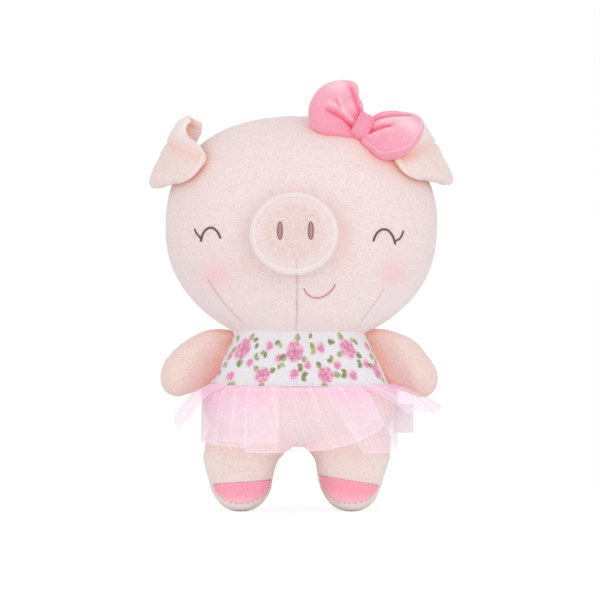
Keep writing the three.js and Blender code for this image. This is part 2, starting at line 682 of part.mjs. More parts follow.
function legGeometry(grow) {
  const segments = INNER_SEGMENTS;
  const top = WAIST_HEIGHT;
  const levelAt = (z) => {
    const low = Math.max(0, 1 - (z + grow) / (FOOT_ROUND + grow));
    const widen = Math.min(1, Math.max(0, z) / CROTCH_HEIGHT) ** THIGH_SPREAD_POWER_SHARE;
    const halfWidth = (lerp(FOOT_WIDTH, THIGH_WIDTH, widen) / 2 + grow) * superRest(low, FOOT_FRONT_POWER_SHARE);
    const waist = z < ANKLE_HEIGHT
      ? lerp(FOOT_DEPTH, ANKLE_DEPTH, smoothstep(z, 0, ANKLE_HEIGHT))
      : lerp(ANKLE_DEPTH, THIGH_DEPTH, smoothstep(z, ANKLE_HEIGHT, HIP_HEIGHT));
    const halfDepth = (waist / 2 + grow) * superRest(low, FOOT_SIDE_POWER_SHARE);
    const centre = Math.min(LEG_SPREAD / 2, legOutside - lerp(FOOT_WIDTH, THIGH_WIDTH, widen) / 2);
    return { halfWidth, halfDepth, centre };
  };
  const roundSteps = 5;
  // The lowest ring is the edge of the flat sole
  const soleAngle = Math.acos(1 - FLOOR_CUT / FOOT_ROUND);
  const footLevels = Array.from({ length: roundSteps }, (_, k) =>
    -grow + (FOOT_ROUND + grow) * (1 - Math.cos(lerp(soleAngle, Math.PI / 2, k / (roundSteps - 1)))));
  const upperSteps = 5;
  const upperLevels = Array.from({ length: upperSteps }, (_, k) =>
    lerp(FOOT_ROUND, top, (k + 1) / upperSteps));
  const rings = [...footLevels, ...upperLevels].map((z) => {
    const { halfWidth, halfDepth, centre } = levelAt(z);
    return Array.from({ length: segments }, (_, k) => {
      const angle = (k / segments) * 2 * Math.PI;
      return vec(centre + halfWidth * signedPower(Math.cos(angle), 2 / LEG_POWER_SHARE),
        MIDDLE_Y + halfDepth * signedPower(Math.sin(angle), 2 / LEG_POWER_SHARE), z);
    });
  });
  const footPole = vec(LEG_SPREAD / 2, MIDDLE_Y, -grow);
  return loft(rings, footPole, vec(levelAt(top).centre, MIDDLE_Y, top));
}

// What lies within the wedge below the hip line, so that a swinging leg stays under the body
function legWedge() {
  const hip = vec(0, MIDDLE_Y, HIP_HEIGHT);
  const block = (side) => boxSolid(vec(-SEAT_WIDTH, MIDDLE_Y - SEAT_WIDTH, HIP_HEIGHT),
    vec(SEAT_WIDTH, MIDDLE_Y + SEAT_WIDTH, HIP_HEIGHT + SEAT_WIDTH),
    turnAbout(hip, vec(1, 0, 0), side * (90 - LEG_WEDGE_ANGLE)));
  return block(-1).add(block(1));
}

function cutLeg(solid) {
  return solid.subtract(legWedge())
    .subtract(solidOf(bodyGeometry(JOINT_GAP)))
    .subtract(boxSolid(vec(-SEAT_WIDTH, -SEAT_WIDTH, -SEAT_WIDTH),
      vec(CROTCH_OPENING / 2, SEAT_WIDTH, WHOLE_HEIGHT)));
}

function cutFloor(solid, height) {
  return solid.subtract(boxSolid(vec(-SEAT_WIDTH, -SEAT_WIDTH, -SEAT_WIDTH),
    vec(SEAT_WIDTH, SEAT_WIDTH, height)));
}

function legCover() {
  const outer = cutFloor(solidOf(legGeometry(0)), FLOOR_CUT);
  return cutLeg(outer.subtract(solidOf(legGeometry(-COVER_THICKNESS))));
}

function legStuffing() {
  return cutLeg(solidOf(legGeometry(-COVER_THICKNESS - SEAM_GAP)));
}

// Hoof: a patch on the front of the foot, higher towards the middle
function hoof() {
  const patch = solidOf(legGeometry(SEAM_GAP + HOOF_THICKNESS))
    .subtract(solidOf(legGeometry(SEAM_GAP)));
  const front = boxSolid(vec(-SEAT_WIDTH, -SEAT_WIDTH, HOOF_BOTTOM + FLOOR_CUT),
    vec(SEAT_WIDTH, MIDDLE_Y - HOOF_FRONT, HIP_HEIGHT));
  const slope = Math.atan2(HOOF_INNER_HEIGHT - HOOF_OUTER_HEIGHT, FOOT_WIDTH);
  const middle = vec(LEG_SPREAD / 2, MIDDLE_Y, (HOOF_INNER_HEIGHT + HOOF_OUTER_HEIGHT) / 2);
  const over = boxSolid(vec(-SEAT_WIDTH, -SEAT_WIDTH, middle.z), vec(SEAT_WIDTH, SEAT_WIDTH, SEAT_WIDTH),
    turnAbout(middle, vec(0, 1, 0), THREE.MathUtils.radToDeg(slope)));
  return patch.intersect(front).subtract(over);
}

// Arms: stuffed stubs, thin at the body's side seam, round and sagging at the hand

const armSeamTop = vec(NECK_WIDTH / 2, MIDDLE_Y, NECK_HEIGHT);
const armSeamEnd = vec(WAIST_WIDTH / 2, MIDDLE_Y, WAIST_HEIGHT);
const armUp = armSeamTop.clone().sub(armSeamEnd).normalize();
const armOut = vec(armUp.z, 0, -armUp.x);
const armHinge = {
  point: armSeamEnd.clone().addScaledVector(armOut, ARM_ROOT_ROUND + JOINT_GAP),
  axis: armUp,
};

// The arm's outline: shares of its reach out from the hinge, and of the seam's length above its lower end
const ARM_SHARES = [[0.22, 0.87], [0.5, 0.66], [0.79, 0.36], [0.95, 0.05], [0.97, -0.22], [0.86, -0.43],
  [0.64, -0.52], [0.4, -0.48], [0.18, -0.23]];

function armGeometry(inset) {
  const seam = armSeamTop.distanceTo(armSeamEnd);
  const at = (outward, height) => armHinge.point.clone()
    .addScaledVector(armOut, outward).addScaledVector(armUp, height);
  const rootReach = inset > 0 ? -3 * ARM_ROOT_ROUND : -ARM_ROOT_ROUND;
  const rootEnds = [at(rootReach, ARM_ROOT_ROUND * 1.5), at(rootReach, seam - ARM_ROOT_ROUND / 2)];
  const corners = [...rootEnds, ...ARM_SHARES.map(([out, up]) => at(out * ARM_REACH, up * seam))];
  const curve = new THREE.CatmullRomCurve3(corners, true, 'centripetal');
  const count = 28;
  const outline = curve.getSpacedPoints(count).slice(0, count).map((p) => vec(p.x, p.z, 0));
  const centre = outline.reduce((sum, p) => sum.add(p), vec(0, 0, 0)).divideScalar(outline.length);
  const reachOf = (u, v) => vec(u - armHinge.point.x, 0, v - armHinge.point.z).dot(armOut);
  const drawn = outline.map((p) => p.addScaledVector(p.clone().sub(centre).normalize(), -inset));
  const place = (u, v, rise) => {
    const swell = smoothstep(reachOf(u, v), -ARM_ROOT_ROUND, ARM_TAPER_LENGTH);
    const half = lerp(ARM_ROOT_THICKNESS_SHARE, 1, swell) * ARM_THICKNESS / 2;
    return vec(u, MIDDLE_Y + rise * (half - inset), v);
  };
  return pillow(drawn, centre, 8, place);
}

function clearOfBody(solid) {
  const clear = cutBySweep(solid, bodyGeometry(JOINT_GAP, INNER_SEGMENTS), armHinge,
    -ARM_LIMIT_ANGLE, ARM_LIMIT_ANGLE, 4);
  return cutBySweep(clear, headGeometry(JOINT_GAP), nodHinge, -NOD_LIMIT_ANGLE, NOD_LIMIT_ANGLE, 2);
}

function armCover() {
  return clearOfBody(solidOf(armGeometry(0)).subtract(solidOf(armGeometry(COVER_THICKNESS))));
}

function armStuffing() {
  return clearOfBody(solidOf(armGeometry(COVER_THICKNESS + SEAM_GAP)));
}

// Skirt: two layers of tulle, gathered at the waist, flaring most at the front corners

function skirtFlare(angle, down, wingFlare) {
  const front = Math.max(0, -Math.sin(angle));
  const back = Math.max(0, Math.sin(angle));
  const fromSide = Math.atan2(front, Math.abs(Math.cos(angle))) - radians(WING_ANGLE);
  const wing = Math.exp(-((fromSide / radians(WING_SPREAD_ANGLE)) ** 2))
    * (Math.cos(angle) > 0 ? RIGHT_WING_SHARE : 1);
  return SKIRT_SIDE_FLARE * down
    + (SKIRT_FRONT_FLARE - SKIRT_SIDE_FLARE) * front * down
    + (SKIRT_BACK_FLARE - SKIRT_SIDE_FLARE) * back * down ** BACK_FLARE_POWER_SHARE
    + wingFlare * wing * down ** WING_POWER_SHARE;
}

// A point of a layer of the skirt, down being its share of the length from the waist to the hem
function skirtPoint(layer, angle, down) {
  const dip = SKIRT_FRONT_DIP * Math.max(0, -Math.sin(angle)) ** 2;
  const fromSide = Math.atan2(Math.sin(angle), Math.abs(Math.cos(angle))) + radians(HEM_LIFT_ANGLE);
  const spread = radians(Math.cos(angle) > 0 ? RIGHT_HEM_LIFT_SPREAD_ANGLE : LEFT_HEM_LIFT_SPREAD_ANGLE);
  const lift = layer.liftShare * Math.exp(-((fromSide / spread) ** 2));
  const drop = (layer.length * (1 - lift) + layer.point * Math.cos(4 * angle)) * down;
  const hips = Math.min(1, (drop + dip) / WAIST_ABOVE_HIP);
  const clear = WAISTBAND_GAP + TULLE_THICKNESS / 2 + layer.offset;
  const fold = SKIRT_FOLD * lerp(SIDE_FOLD_SHARE, 1, Math.abs(Math.sin(angle))) * down
    * (1 + Math.cos(SKIRT_FOLD_COUNT * angle));
  const out = skirtFlare(angle, down, layer.wing) + fold + layer.spread * down;
  const hipWidth = Math.max(SEAT_WIDTH, 2 * legOutside);
  return vec(
    (lerp(WAIST_WIDTH, hipWidth, hips) / 2 + clear) * signedPower(Math.cos(angle), 2 / BODY_POWER_SHARE)
      + Math.cos(angle) * out,
    MIDDLE_Y + (lerp(WAIST_DEPTH, SEAT_DEPTH, hips) / 2 + clear)
      * signedPower(Math.sin(angle), 2 / BODY_POWER_SHARE) + Math.sin(angle) * out,
    WAIST_HEIGHT - dip - drop);
}

const labelBottom = WAIST_HEIGHT - LABEL_DROP - LABEL_HEIGHT;
const underLayer = {
  length: SKIRT_LENGTH, offset: 0, spread: 0, point: SKIRT_POINT / 2, liftShare: 0,
  wing: UNDER_WING_FLARE,
};
const overLayer = {
  length: OVER_SKIRT_LENGTH, offset: LAYER_SPACING, spread: LAYER_SPREAD, point: SKIRT_POINT,
  liftShare: HEM_LIFT_SHARE, wing: OVER_WING_FLARE,
};

// The first row of the cloth ends at the hips, where the seat is widest. The label passes through a slit.
function skirtLayer(layer) {
  const rows = 5;
  const pointAt = (around, row) => {
    const hipShare = WAIST_ABOVE_HIP / layer.length;
    const down = row * rows < 1 ? row * rows * hipShare : lerp(hipShare, 1, (row * rows - 1) / (rows - 1));
    return skirtPoint(layer, around * 2 * Math.PI, down);
  };
  const slitHalf = LABEL_PLY + LABEL_SPACE / 2 + SEAM_GAP;
  const slit = boxSolid(vec(WAIST_WIDTH / 2, MIDDLE_Y - slitHalf, labelBottom - SEAM_GAP),
    vec(SEAT_WIDTH, MIDDLE_Y + slitHalf, labelBottom + LABEL_HEIGHT + SEAM_GAP));
  return solidOf(cloth(pointAt, SKIRT_FOLD_COUNT * 4, rows, TULLE_THICKNESS, true)).subtract(slit);
}

// Tail: a stuffed curl that lies against the back of the seat

function tail() {
  const steps = 9;
  const centre = vec(0, MIDDLE_Y + SEAT_DEPTH / 2, HIP_HEIGHT - TAIL_DROP);
  const points = Array.from({ length: steps + 1 }, (_, k) => {
    const share = k / steps;
    const angle = Math.PI / 2 + share * TAIL_TURNS * 2 * Math.PI;
    const radius = lerp(TAIL_CURL_RADIUS, TAIL_TIP_RADIUS, share);
    return vec(centre.x + Math.cos(angle) * radius, centre.y + TAIL_RISE * share,
      centre.z + Math.sin(angle) * radius);
  });
  const curl = tube(points, 6, (share) => lerp(1, TAIL_TIP_THICKNESS_SHARE, share) * TAIL_THICKNESS / 2);
  return solidOf(curl).subtract(solidOf(bodyGeometry(SEAM_GAP)));
}

// Side label: a ribbon folded once and sewn to the seat's side, its fold outwards, bare on both faces

function sideLabel() {
  const thick = LABEL_PLY * 2 + LABEL_SPACE;
  const shape = new THREE.Shape();
  shape.moveTo(0, -thick / 2);
  shape.lineTo(LABEL_WIDTH - thick / 2, -thick / 2);
  shape.absarc(LABEL_WIDTH - thick / 2, 0, thick / 2, -Math.PI / 2, Math.PI / 2);
  shape.lineTo(0, thick / 2);
  shape.lineTo(0, LABEL_SPACE / 2);
  shape.lineTo(LABEL_WIDTH - thick / 2, LABEL_SPACE / 2);
  shape.absarc(LABEL_WIDTH - thick / 2, 0, LABEL_SPACE / 2, Math.PI / 2, -Math.PI / 2, true);
  shape.lineTo(0, -LABEL_SPACE / 2);
  const ribbon = new THREE.ExtrudeGeometry(shape, { depth: LABEL_HEIGHT, bevelEnabled: false, curveSegments: 6 });
  ribbon.translate(SEAT_WIDTH / 2 + SEAM_GAP, MIDDLE_Y, labelBottom);
  return solidOf(ribbon);
}

// Colours and finishes
const cloths = {
  skin: { color: 0xf3dfdc, roughness: 0.95, metalness: 0 },
  fibre: { color: 0xf7f5f0, roughness: 1, metalness: 0 },
  thread: { color: 0x6e4b55, roughness: 0.7, metalness: 0 },
  mauve: { color: 0xad8586, roughness: 0.7, metalness: 0 },
  rose: { color: 0xe48c98, roughness: 0.7, metalness: 0 },
  bowPink: { color: 0xfda9c2, roughness: 0.9, metalness: 0 },
  cotton: { color: 0xf4eef0, roughness: 0.9, metalness: 0 },
  tulle: { color: 0xf8dcea, roughness: 0.8, metalness: 0 },
  ribbon: { color: 0xfaf4f6, roughness: 0.8, metalness: 0 },
};

const pig = new THREE.Group();

function addPiece(name, solid, finish) {
  const mesh = new THREE.Mesh(geometryOf(solid), new THREE.MeshStandardMaterial(cloths[finish]));
  mesh.name = name;
  pig.add(mesh);
}

function addPair(name, solid, finish) {
  const [base, part] = name;
  const suffix = part ? `_${part}` : '';
  addPiece(`${base}_right${suffix}`, solid, finish);
  addPiece(`${base}_left${suffix}`, solidOf(mirrored(geometryOf(solid))), finish);
}

addPiece('head_cover', headCover(), 'skin');
addPiece('head_stuffing', headStuffing(), 'fibre');
addPiece('snout_cover', snoutCover(), 'skin');
addPiece('snout_stuffing', snoutStuffing(), 'fibre');
addPiece('eye_right', eye(1), 'thread');
addPiece('eye_left', eye(-1), 'thread');
addPiece('nostril_right', nostril(1), 'mauve');
addPiece('nostril_left', nostril(-1), 'mauve');
addPiece('mouth', mouth(), 'rose');

const rightLoop = (grow) =>
  bowLoop(1, RIGHT_LOOP_SHARES, RIGHT_LOOP_LENGTH, RIGHT_LOOP_HEIGHT, RIGHT_LOOP_FRONT_ANGLE, grow);
const leftLoop = bowLoop(-1, LEFT_LOOP_SHARES, LEFT_LOOP_LENGTH, LEFT_LOOP_HEIGHT, 0);
const bowSeat = solidOf(headGeometry(SEAM_GAP)).add(bowKnot(SEAM_GAP));
addPiece('bow_knot', bowKnot(0).subtract(solidOf(headGeometry(SEAM_GAP))), 'bowPink');
addPiece('bow_loop_right', solidOf(rightLoop(0)).subtract(bowSeat), 'bowPink');
addPiece('bow_loop_left', solidOf(leftLoop).subtract(bowSeat), 'bowPink');

addPiece('ear_right', rightEarSolid(rightLoop(BOW_GAP)), 'skin');
addPiece('ear_left', solidOf(mirrored(geometryOf(earSolid()))), 'skin');

addPiece('bodice_cover', bodiceCover(), 'cotton');
addPiece('seat_cover', seatCover(), 'skin');
addPiece('body_stuffing', bodyStuffing(), 'fibre');

addPair(['arm', 'cover'], armCover(), 'skin');
addPair(['arm', 'stuffing'], armStuffing(), 'fibre');
addPair(['leg', 'cover'], legCover(), 'skin');
addPair(['leg', 'stuffing'], legStuffing(), 'fibre');
addPair(['hoof'], hoof(), 'bowPink');

addPiece('skirt_under', skirtLayer(underLayer), 'tulle');
addPiece('skirt_over', skirtLayer(overLayer), 'tulle');
addPiece('tail', tail(), 'skin');
addPiece('side_label', sideLabel(), 'ribbon');

// The floor lies at the cut under the feet
pig.position.z = -FLOOR_CUT;

export default pig;
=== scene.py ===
import math

import bmesh
import bpy
import numpy as np
from mathutils import Matrix, Vector
from mathutils.bvhtree import BVHTree


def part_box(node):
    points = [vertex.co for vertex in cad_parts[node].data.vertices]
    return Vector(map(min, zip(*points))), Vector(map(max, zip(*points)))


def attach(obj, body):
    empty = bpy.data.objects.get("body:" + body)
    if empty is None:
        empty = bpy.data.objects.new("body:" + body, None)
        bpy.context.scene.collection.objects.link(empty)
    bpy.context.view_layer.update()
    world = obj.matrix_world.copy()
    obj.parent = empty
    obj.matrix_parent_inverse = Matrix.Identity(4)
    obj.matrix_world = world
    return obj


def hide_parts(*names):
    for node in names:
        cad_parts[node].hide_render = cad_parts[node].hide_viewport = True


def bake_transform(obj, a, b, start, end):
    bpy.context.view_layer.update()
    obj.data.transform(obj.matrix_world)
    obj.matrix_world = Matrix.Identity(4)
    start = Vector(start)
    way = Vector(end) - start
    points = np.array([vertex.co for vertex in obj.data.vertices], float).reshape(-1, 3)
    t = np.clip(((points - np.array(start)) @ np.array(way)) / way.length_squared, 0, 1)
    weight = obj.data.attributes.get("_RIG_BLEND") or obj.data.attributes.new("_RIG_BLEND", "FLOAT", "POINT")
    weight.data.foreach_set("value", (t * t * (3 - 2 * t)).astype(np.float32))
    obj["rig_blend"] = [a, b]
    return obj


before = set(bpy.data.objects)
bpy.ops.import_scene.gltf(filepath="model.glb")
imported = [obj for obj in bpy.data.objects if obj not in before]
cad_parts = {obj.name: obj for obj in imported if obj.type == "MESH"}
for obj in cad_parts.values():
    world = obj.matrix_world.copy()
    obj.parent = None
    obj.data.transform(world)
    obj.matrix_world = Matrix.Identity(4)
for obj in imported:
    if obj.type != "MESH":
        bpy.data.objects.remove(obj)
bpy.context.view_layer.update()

# Sizes in millimetres, the same as the solids'
MM = 0.001
FLOOR_CUT = 0.5
MID_Y = 7.5
HEAD_Z = 170.0
HEAD_HALF = (81.5, 58.0)
CROWN, CHIN = 67.0, 71.5
# How square the head is seen from above, and above and below its widest level seen from the front
HEAD_POWER, CROWN_POWER, CHIN_POWER = 2.2, 2.3, 2.05
HIP_Z, WAIST_Z, NECK_Z = 72.0, 77.0, 109.0
# Half widths and half depths of the body from the hips to above the neck
BODY_LEVELS = [HIP_Z, WAIST_Z, 93, NECK_Z, 123]
BODY_WIDTHS = [58, 52.5, 45, 37.5, 30.5]
BODY_DEPTHS = [34, 33, 33, 30, 23]
BODY_POWER = 3.0
LEG_OUTSIDE = 55.75
# The head and the legs are stuffed a little to one side
HEAD_SHIFT = 0.7
LEG_SHIFT = -1.1
FOOT_SHIFT = -1.3
# Length of thread between two strands of satin stitch
SATIN_PITCH = 0.42


# Shapes

def lerp(a, b, t):
    return a + (b - a) * t


def smooth(x, low, high):
    t = np.clip((np.asarray(x, float) - low) / (high - low), 0, 1)
    return t * t * (3 - 2 * t)


def signed(value, power):
    return np.sign(value) * np.abs(value) ** power


def rest_of(share, power):
    return np.maximum(0, 1 - np.minimum(1, np.abs(share)) ** power) ** (1 / power)


def bell(distance, width):
    return np.exp(-(np.asarray(distance, float) / width) ** 2)


def circle(count):
    return np.linspace(0, 2 * math.pi, count, endpoint=False)


def run_along(line):
    """Distance from the first point, along a line or down the columns of a grid."""
    steps = np.linalg.norm(np.diff(line, axis=0), axis=-1)
    return np.concatenate([np.zeros_like(steps[:1]), np.cumsum(steps, axis=0)])


def lumps(p, scale, seed, count=14):
    """Smooth unevenness from -1 to 1 over points in millimetres."""
    rng = np.random.default_rng(seed)
    total = np.zeros(p.shape[:-1])
    for _ in range(count):
        way = rng.normal(size=3)
        way /= np.linalg.norm(way)
        wave = scale * rng.uniform(0.7, 1.6)
        total += np.sin(p @ way * (2 * math.pi / wave) + rng.uniform(0, 2 * math.pi))
    return total / math.sqrt(count)


def curve(points, count, closed=False):
    """Centripetal Catmull-Rom through the points, count samples."""
    p = np.asarray(points, float)
    if closed:
        p = np.vstack([p[-1], p, p[0], p[1]])
    else:
        p = np.vstack([2 * p[0] - p[1], p, 2 * p[-1] - p[-2]])
    segments = len(p) - 3
    t = np.linspace(0, segments, count, endpoint=not closed)
    i = np.minimum(t.astype(int), segments - 1)
    s = (t - i)[:, None]
    a, b, c, d = p[i], p[i + 1], p[i + 2], p[i + 3]
    step = lambda m, n: np.sqrt(np.maximum(np.linalg.norm(n - m, axis=1), 1e-9))[:, None]
    ta, tb, tc = step(a, b), step(b, c), step(c, d)
    m1 = ((b - a) / ta - (c - a) / (ta + tb) + (c - b) / tb) * tb
    m2 = ((c - b) / tb - (d - b) / (tb + tc) + (d - c) / tc) * tb
    return (2 * b - 2 * c + m1 + m2) * s ** 3 + (-3 * b + 3 * c - 2 * m1 - m2) * s ** 2 + m1 * s + b


def even(points, count, closed=False):
    """The same line at even spacing."""
    dense = curve(points, 800, closed)
    if closed:
        dense = np.vstack([dense, dense[:1]])
    run = run_along(dense)
    at = np.linspace(0, run[-1], count, endpoint=not closed)
    return np.stack([np.interp(at, run, k) for k in dense.T], axis=1)


def away(p, line):
    """Distance of every point of p from a line of points."""
    flat = p.reshape(-1, p.shape[-1])
    best = np.full(len(flat), 1e9)
    for a, b in zip(line[:-1], line[1:]):
        ab = b - a
        t = np.clip(((flat - a) @ ab) / max(ab @ ab, 1e-12), 0, 1)
        best = np.minimum(best, np.linalg.norm(flat - a - t[:, None] * ab, axis=1))
    return best.reshape(p.shape[:-1])


def normals(p, wrap=False):
    """Normals of a grid of points, rows by columns, wrap where the last column meets the first."""
    if wrap:
        du = np.roll(p, -1, axis=1) - np.roll(p, 1, axis=1)
    else:
        du = np.gradient(p, axis=1)
    n = np.cross(du, np.gradient(p, axis=0))
    return n / np.maximum(np.linalg.norm(n, axis=-1, keepdims=True), 1e-9)


def out_of(p):
    """Normals of a closed form, turned away from its middle."""
    n = normals(p, wrap=True)
    return n if ((p - p.reshape(-1, 3).mean(0)) * n).sum() > 0 else -n


def aside(u, v, line):
    """Signed distance from a line in a plane, positive on its left, and the share of the line passed."""
    best, found, passed = np.full(u.shape, 1e9), np.zeros(u.shape), np.zeros(u.shape)
    before = run_along(line)
    lengths = np.linalg.norm(np.diff(line, axis=0), axis=1)
    for a, b, start, length in zip(line[:-1], line[1:], before, lengths):
        ab = (b - a) / length
        x, y = u - a[0], v - a[1]
        t = np.clip(x * ab[0] + y * ab[1], 0, length)
        d = np.hypot(x - t * ab[0], y - t * ab[1])
        sign = np.where(ab[0] * y - ab[1] * x > 0, 1, -1)
        nearer = d < best
        best = np.where(nearer, d, best)
        found = np.where(nearer, sign * d, found)
        passed = np.where(nearer, (start + t) / before[-1], passed)
    return found, passed


# Meshes

def grid_faces(rows, cols, wrap=False, offset=0):
    i, j = np.meshgrid(np.arange(rows - 1), np.arange(cols if wrap else cols - 1), indexing="ij")
    k = (j + 1) % cols
    quads = np.stack([i * cols + j, i * cols + k, (i + 1) * cols + k, (i + 1) * cols + j], axis=-1)
    return (quads.reshape(-1, 4) + offset).tolist()


def placed(name, data):
    obj = bpy.data.objects.new(name, data)
    bpy.context.scene.collection.objects.link(obj)
    return obj


def build(name, points, faces, material, body, slot, replaces=(), data=None):
    """One piece. Its data may leave out the last points, which then have 0."""
    mesh = bpy.data.meshes.new(name)
    points = np.asarray(points, float).reshape(-1, 3)
    mesh.from_pydata(((points - [0, 0, FLOOR_CUT]) * MM).tolist(), [], faces)
    mesh.update()
    for key, values in (data or {}).items():
        layers, kind, field, wide = ((mesh.color_attributes, "FLOAT_COLOR", "color", 4) if key == "dye"
                                     else (mesh.attributes, "FLOAT", "value", 1))
        flat = np.zeros(len(points) * wide, np.float32)
        flat[:np.size(values)] = np.reshape(values, -1)
        layers.new(key, kind, "POINT").data.foreach_set(field, flat)
    obj = placed(name, mesh)
    mesh.polygons.foreach_set("use_smooth", np.ones(len(mesh.polygons), bool))
    mesh.materials.append(material)
    turn_out(mesh)
    if body:
        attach(obj, body)
    if replaces:
        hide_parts(*replaces)
    return obj


def turn_out(mesh):
    """Faces of a closed mesh point out."""
    bm = bmesh.new()
    bm.from_mesh(mesh)
    if all(len(e.link_faces) == 2 for e in bm.edges) and bm.calc_volume(signed=True) < 0:
        bmesh.ops.reverse_faces(bm, faces=bm.faces)
        bm.to_mesh(mesh)
    bm.free()


def closed_grid(p, poles=None):
    """Points and faces of rows of rings, closed at both ends by a pole each."""
    rows, cols = p.shape[:2]
    poles = (p[0].mean(0), p[-1].mean(0)) if poles is None else poles
    faces = grid_faces(rows, cols, wrap=True)
    first, base = rows * cols, (rows - 1) * cols
    faces += [[first, (k + 1) % cols, k] for k in range(cols)]
    faces += [[first + 1, base + k, base + (k + 1) % cols] for k in range(cols)]
    return np.vstack([p.reshape(-1, 3), *poles]), faces


def two_sheets(front, back):
    """Points and faces of two grids joined all round, and the rows and columns of their rim."""
    rows, cols = front.shape[:2]
    count = rows * cols
    faces = grid_faces(rows, cols) + [f[::-1] for f in grid_faces(rows, cols, offset=count)]
    loop = ([(i, 0) for i in range(rows)] + [(rows - 1, j) for j in range(1, cols)]
            + [(i, cols - 1) for i in range(rows - 2, -1, -1)] + [(0, j) for j in range(cols - 2, 0, -1)])
    ids = [i * cols + j for i, j in loop]
    faces += [[a, b, b + count, a + count] for a, b in zip(ids, ids[1:] + ids[:1])]
    return np.vstack([front.reshape(-1, 3), back.reshape(-1, 3)]), faces, loop


def tube(points, radius, sides, flat=1.0):
    """Points and faces of a closed tube. flat squashes it from front to back."""
    p = np.asarray(points, float)
    radius = np.broadcast_to(np.asarray(radius, float), len(p))[:, None]
    t = np.gradient(p, axis=0)
    t /= np.linalg.norm(t, axis=1, keepdims=True)
    side = np.cross(t, [0, 1, 0])
    short = np.linalg.norm(side, axis=1) < 1e-3
    side[short] = np.cross(t[short], [1, 0, 0.3])
    side /= np.linalg.norm(side, axis=1, keepdims=True)
    rise = np.cross(side, t)
    angle = circle(sides)[:, None]
    ring = (p[:, None] + radius[:, None]
            * (np.cos(angle) * side[:, None] + flat * np.sin(angle) * rise[:, None]))
    return closed_grid(ring, (p[0] - t[0] * radius[0] * 0.5, p[-1] + t[-1] * radius[-1] * 0.5))


def front_of(obj):
    """The point and normal, in millimetres, where a line from the front meets a built mesh at x and z."""
    mesh = obj.data
    tree = BVHTree.FromPolygons([v.co[:] for v in mesh.vertices], [tuple(f.vertices) for f in mesh.polygons])

    def face(x, z):
        start = lambda y: Vector((x * MM, y, (z - FLOOR_CUT) * MM))
        at, normal = tree.ray_cast(start(-1), Vector((0, 1, 0)))[:2]
        if at is None:
            at, normal = tree.find_nearest(start(-0.04))[:2]
        return np.array(at) / MM + [0, 0, FLOOR_CUT], np.array(-normal if normal.y > 0 else normal)

    return face


def laid(face, points, out, count):
    """A line through points at x and z, laid on a face and raised from it."""
    return np.array([at + normal * out for at, normal in (face(x, z) for x, z in even(points, count))])


def join_parts(parts):
    points, faces, count = [], [], 0
    for p, f in parts:
        points.append(p)
        faces += [[k + count for k in face] for face in f]
        count += len(p)
    return np.vstack(points), faces


# Colours and materials

def srgb(r, g, b):
    lin = [c / 255 / 12.92 if c / 255 <= 0.04045 else ((c / 255 + 0.055) / 1.055) ** 2.4 for c in (r, g, b)]
    return (*lin, 1.0)


def scaled(colour, factor, more=0.0):
    return tuple(min(1.0, c * factor + more) for c in colour[:3]) + (1.0,)


WHITE = (1.0, 1.0, 1.0, 1.0)


class Nodes:
    """A short way to write the nodes of a material or the world."""

    def __init__(self, owner, shader="Principled BSDF"):
        owner.use_nodes = True
        self.owner, self.tree = owner, owner.node_tree
        self.shader = self.tree.nodes[shader]

    def fill(self, socket, value):
        """A number or colour becomes the socket's value, anything else is linked to it."""
        if isinstance(value, (int, float, tuple)):
            socket.default_value = value
        else:
            self.tree.links.new(value, socket)

    def put(self, **values):
        for key, value in values.items():
            self.fill(self.shader.inputs[key.replace("_", " ")], value)

    def add(self, kind, sockets=None, **values):
        node = self.tree.nodes.new(kind)
        for key, value in values.items():
            setattr(node, key, value)
        for key, value in (sockets or {}).items():
            self.fill(node.inputs[key], value)
        return node

    def place(self):
        return self.add("ShaderNodeTexCoord").outputs["Object"]

    def noise(self, scale, detail=2.0, distortion=0.0, rough=0.5):
        sockets = {"Vector": self.place(), "Scale": scale, "Detail": detail, "Distortion": distortion,
                   "Roughness": rough}
        return self.add("ShaderNodeTexNoise", sockets).outputs["Fac"]

    def fac(self, name):
        return self.add("ShaderNodeAttribute", attribute_name=name).outputs["Fac"]

    def math(self, operation, a, b=None, clamp=False):
        sockets = {0: a} if b is None else {0: a, 1: b}
        return self.add("ShaderNodeMath", sockets, operation=operation, use_clamp=clamp).outputs[0]

    def times(self, a, b, clamp=False):
        return self.math("MULTIPLY", a, b, clamp)

    def plus(self, a, b, clamp=False):
        return self.math("ADD", a, b, clamp)

    def span(self, value, low, high, to_low=0.0, to_high=1.0):
        sockets = {"Value": value, "From Min": low, "From Max": high, "To Min": to_low, "To Max": to_high}
        return self.add("ShaderNodeMapRange", sockets, clamp=True).outputs["Result"]

    def mix(self, factor, a, b, blend="MIX"):
        return self.add("ShaderNodeMix", {"Factor": factor, 6: a, 7: b}, data_type="RGBA",
                        blend_type=blend).outputs[2]

    def bump(self, height, distance, strength, after=None):
        node = self.add("ShaderNodeBump", {"Height": height, "Distance": distance, "Strength": strength})
        if after is not None:
            self.fill(node.inputs["Normal"], after)
        return node.outputs["Normal"]

    def pressed(self, reach, low, high):
        """1 where other cloth lies close, 0 in the open."""
        near = self.add("ShaderNodeAmbientOcclusion", {"Distance": reach}, samples=6)
        return self.span(near.outputs["AO"], low, high, 1.0, 0.0)


def cloth(name):
    return Nodes(bpy.data.materials.new(name))


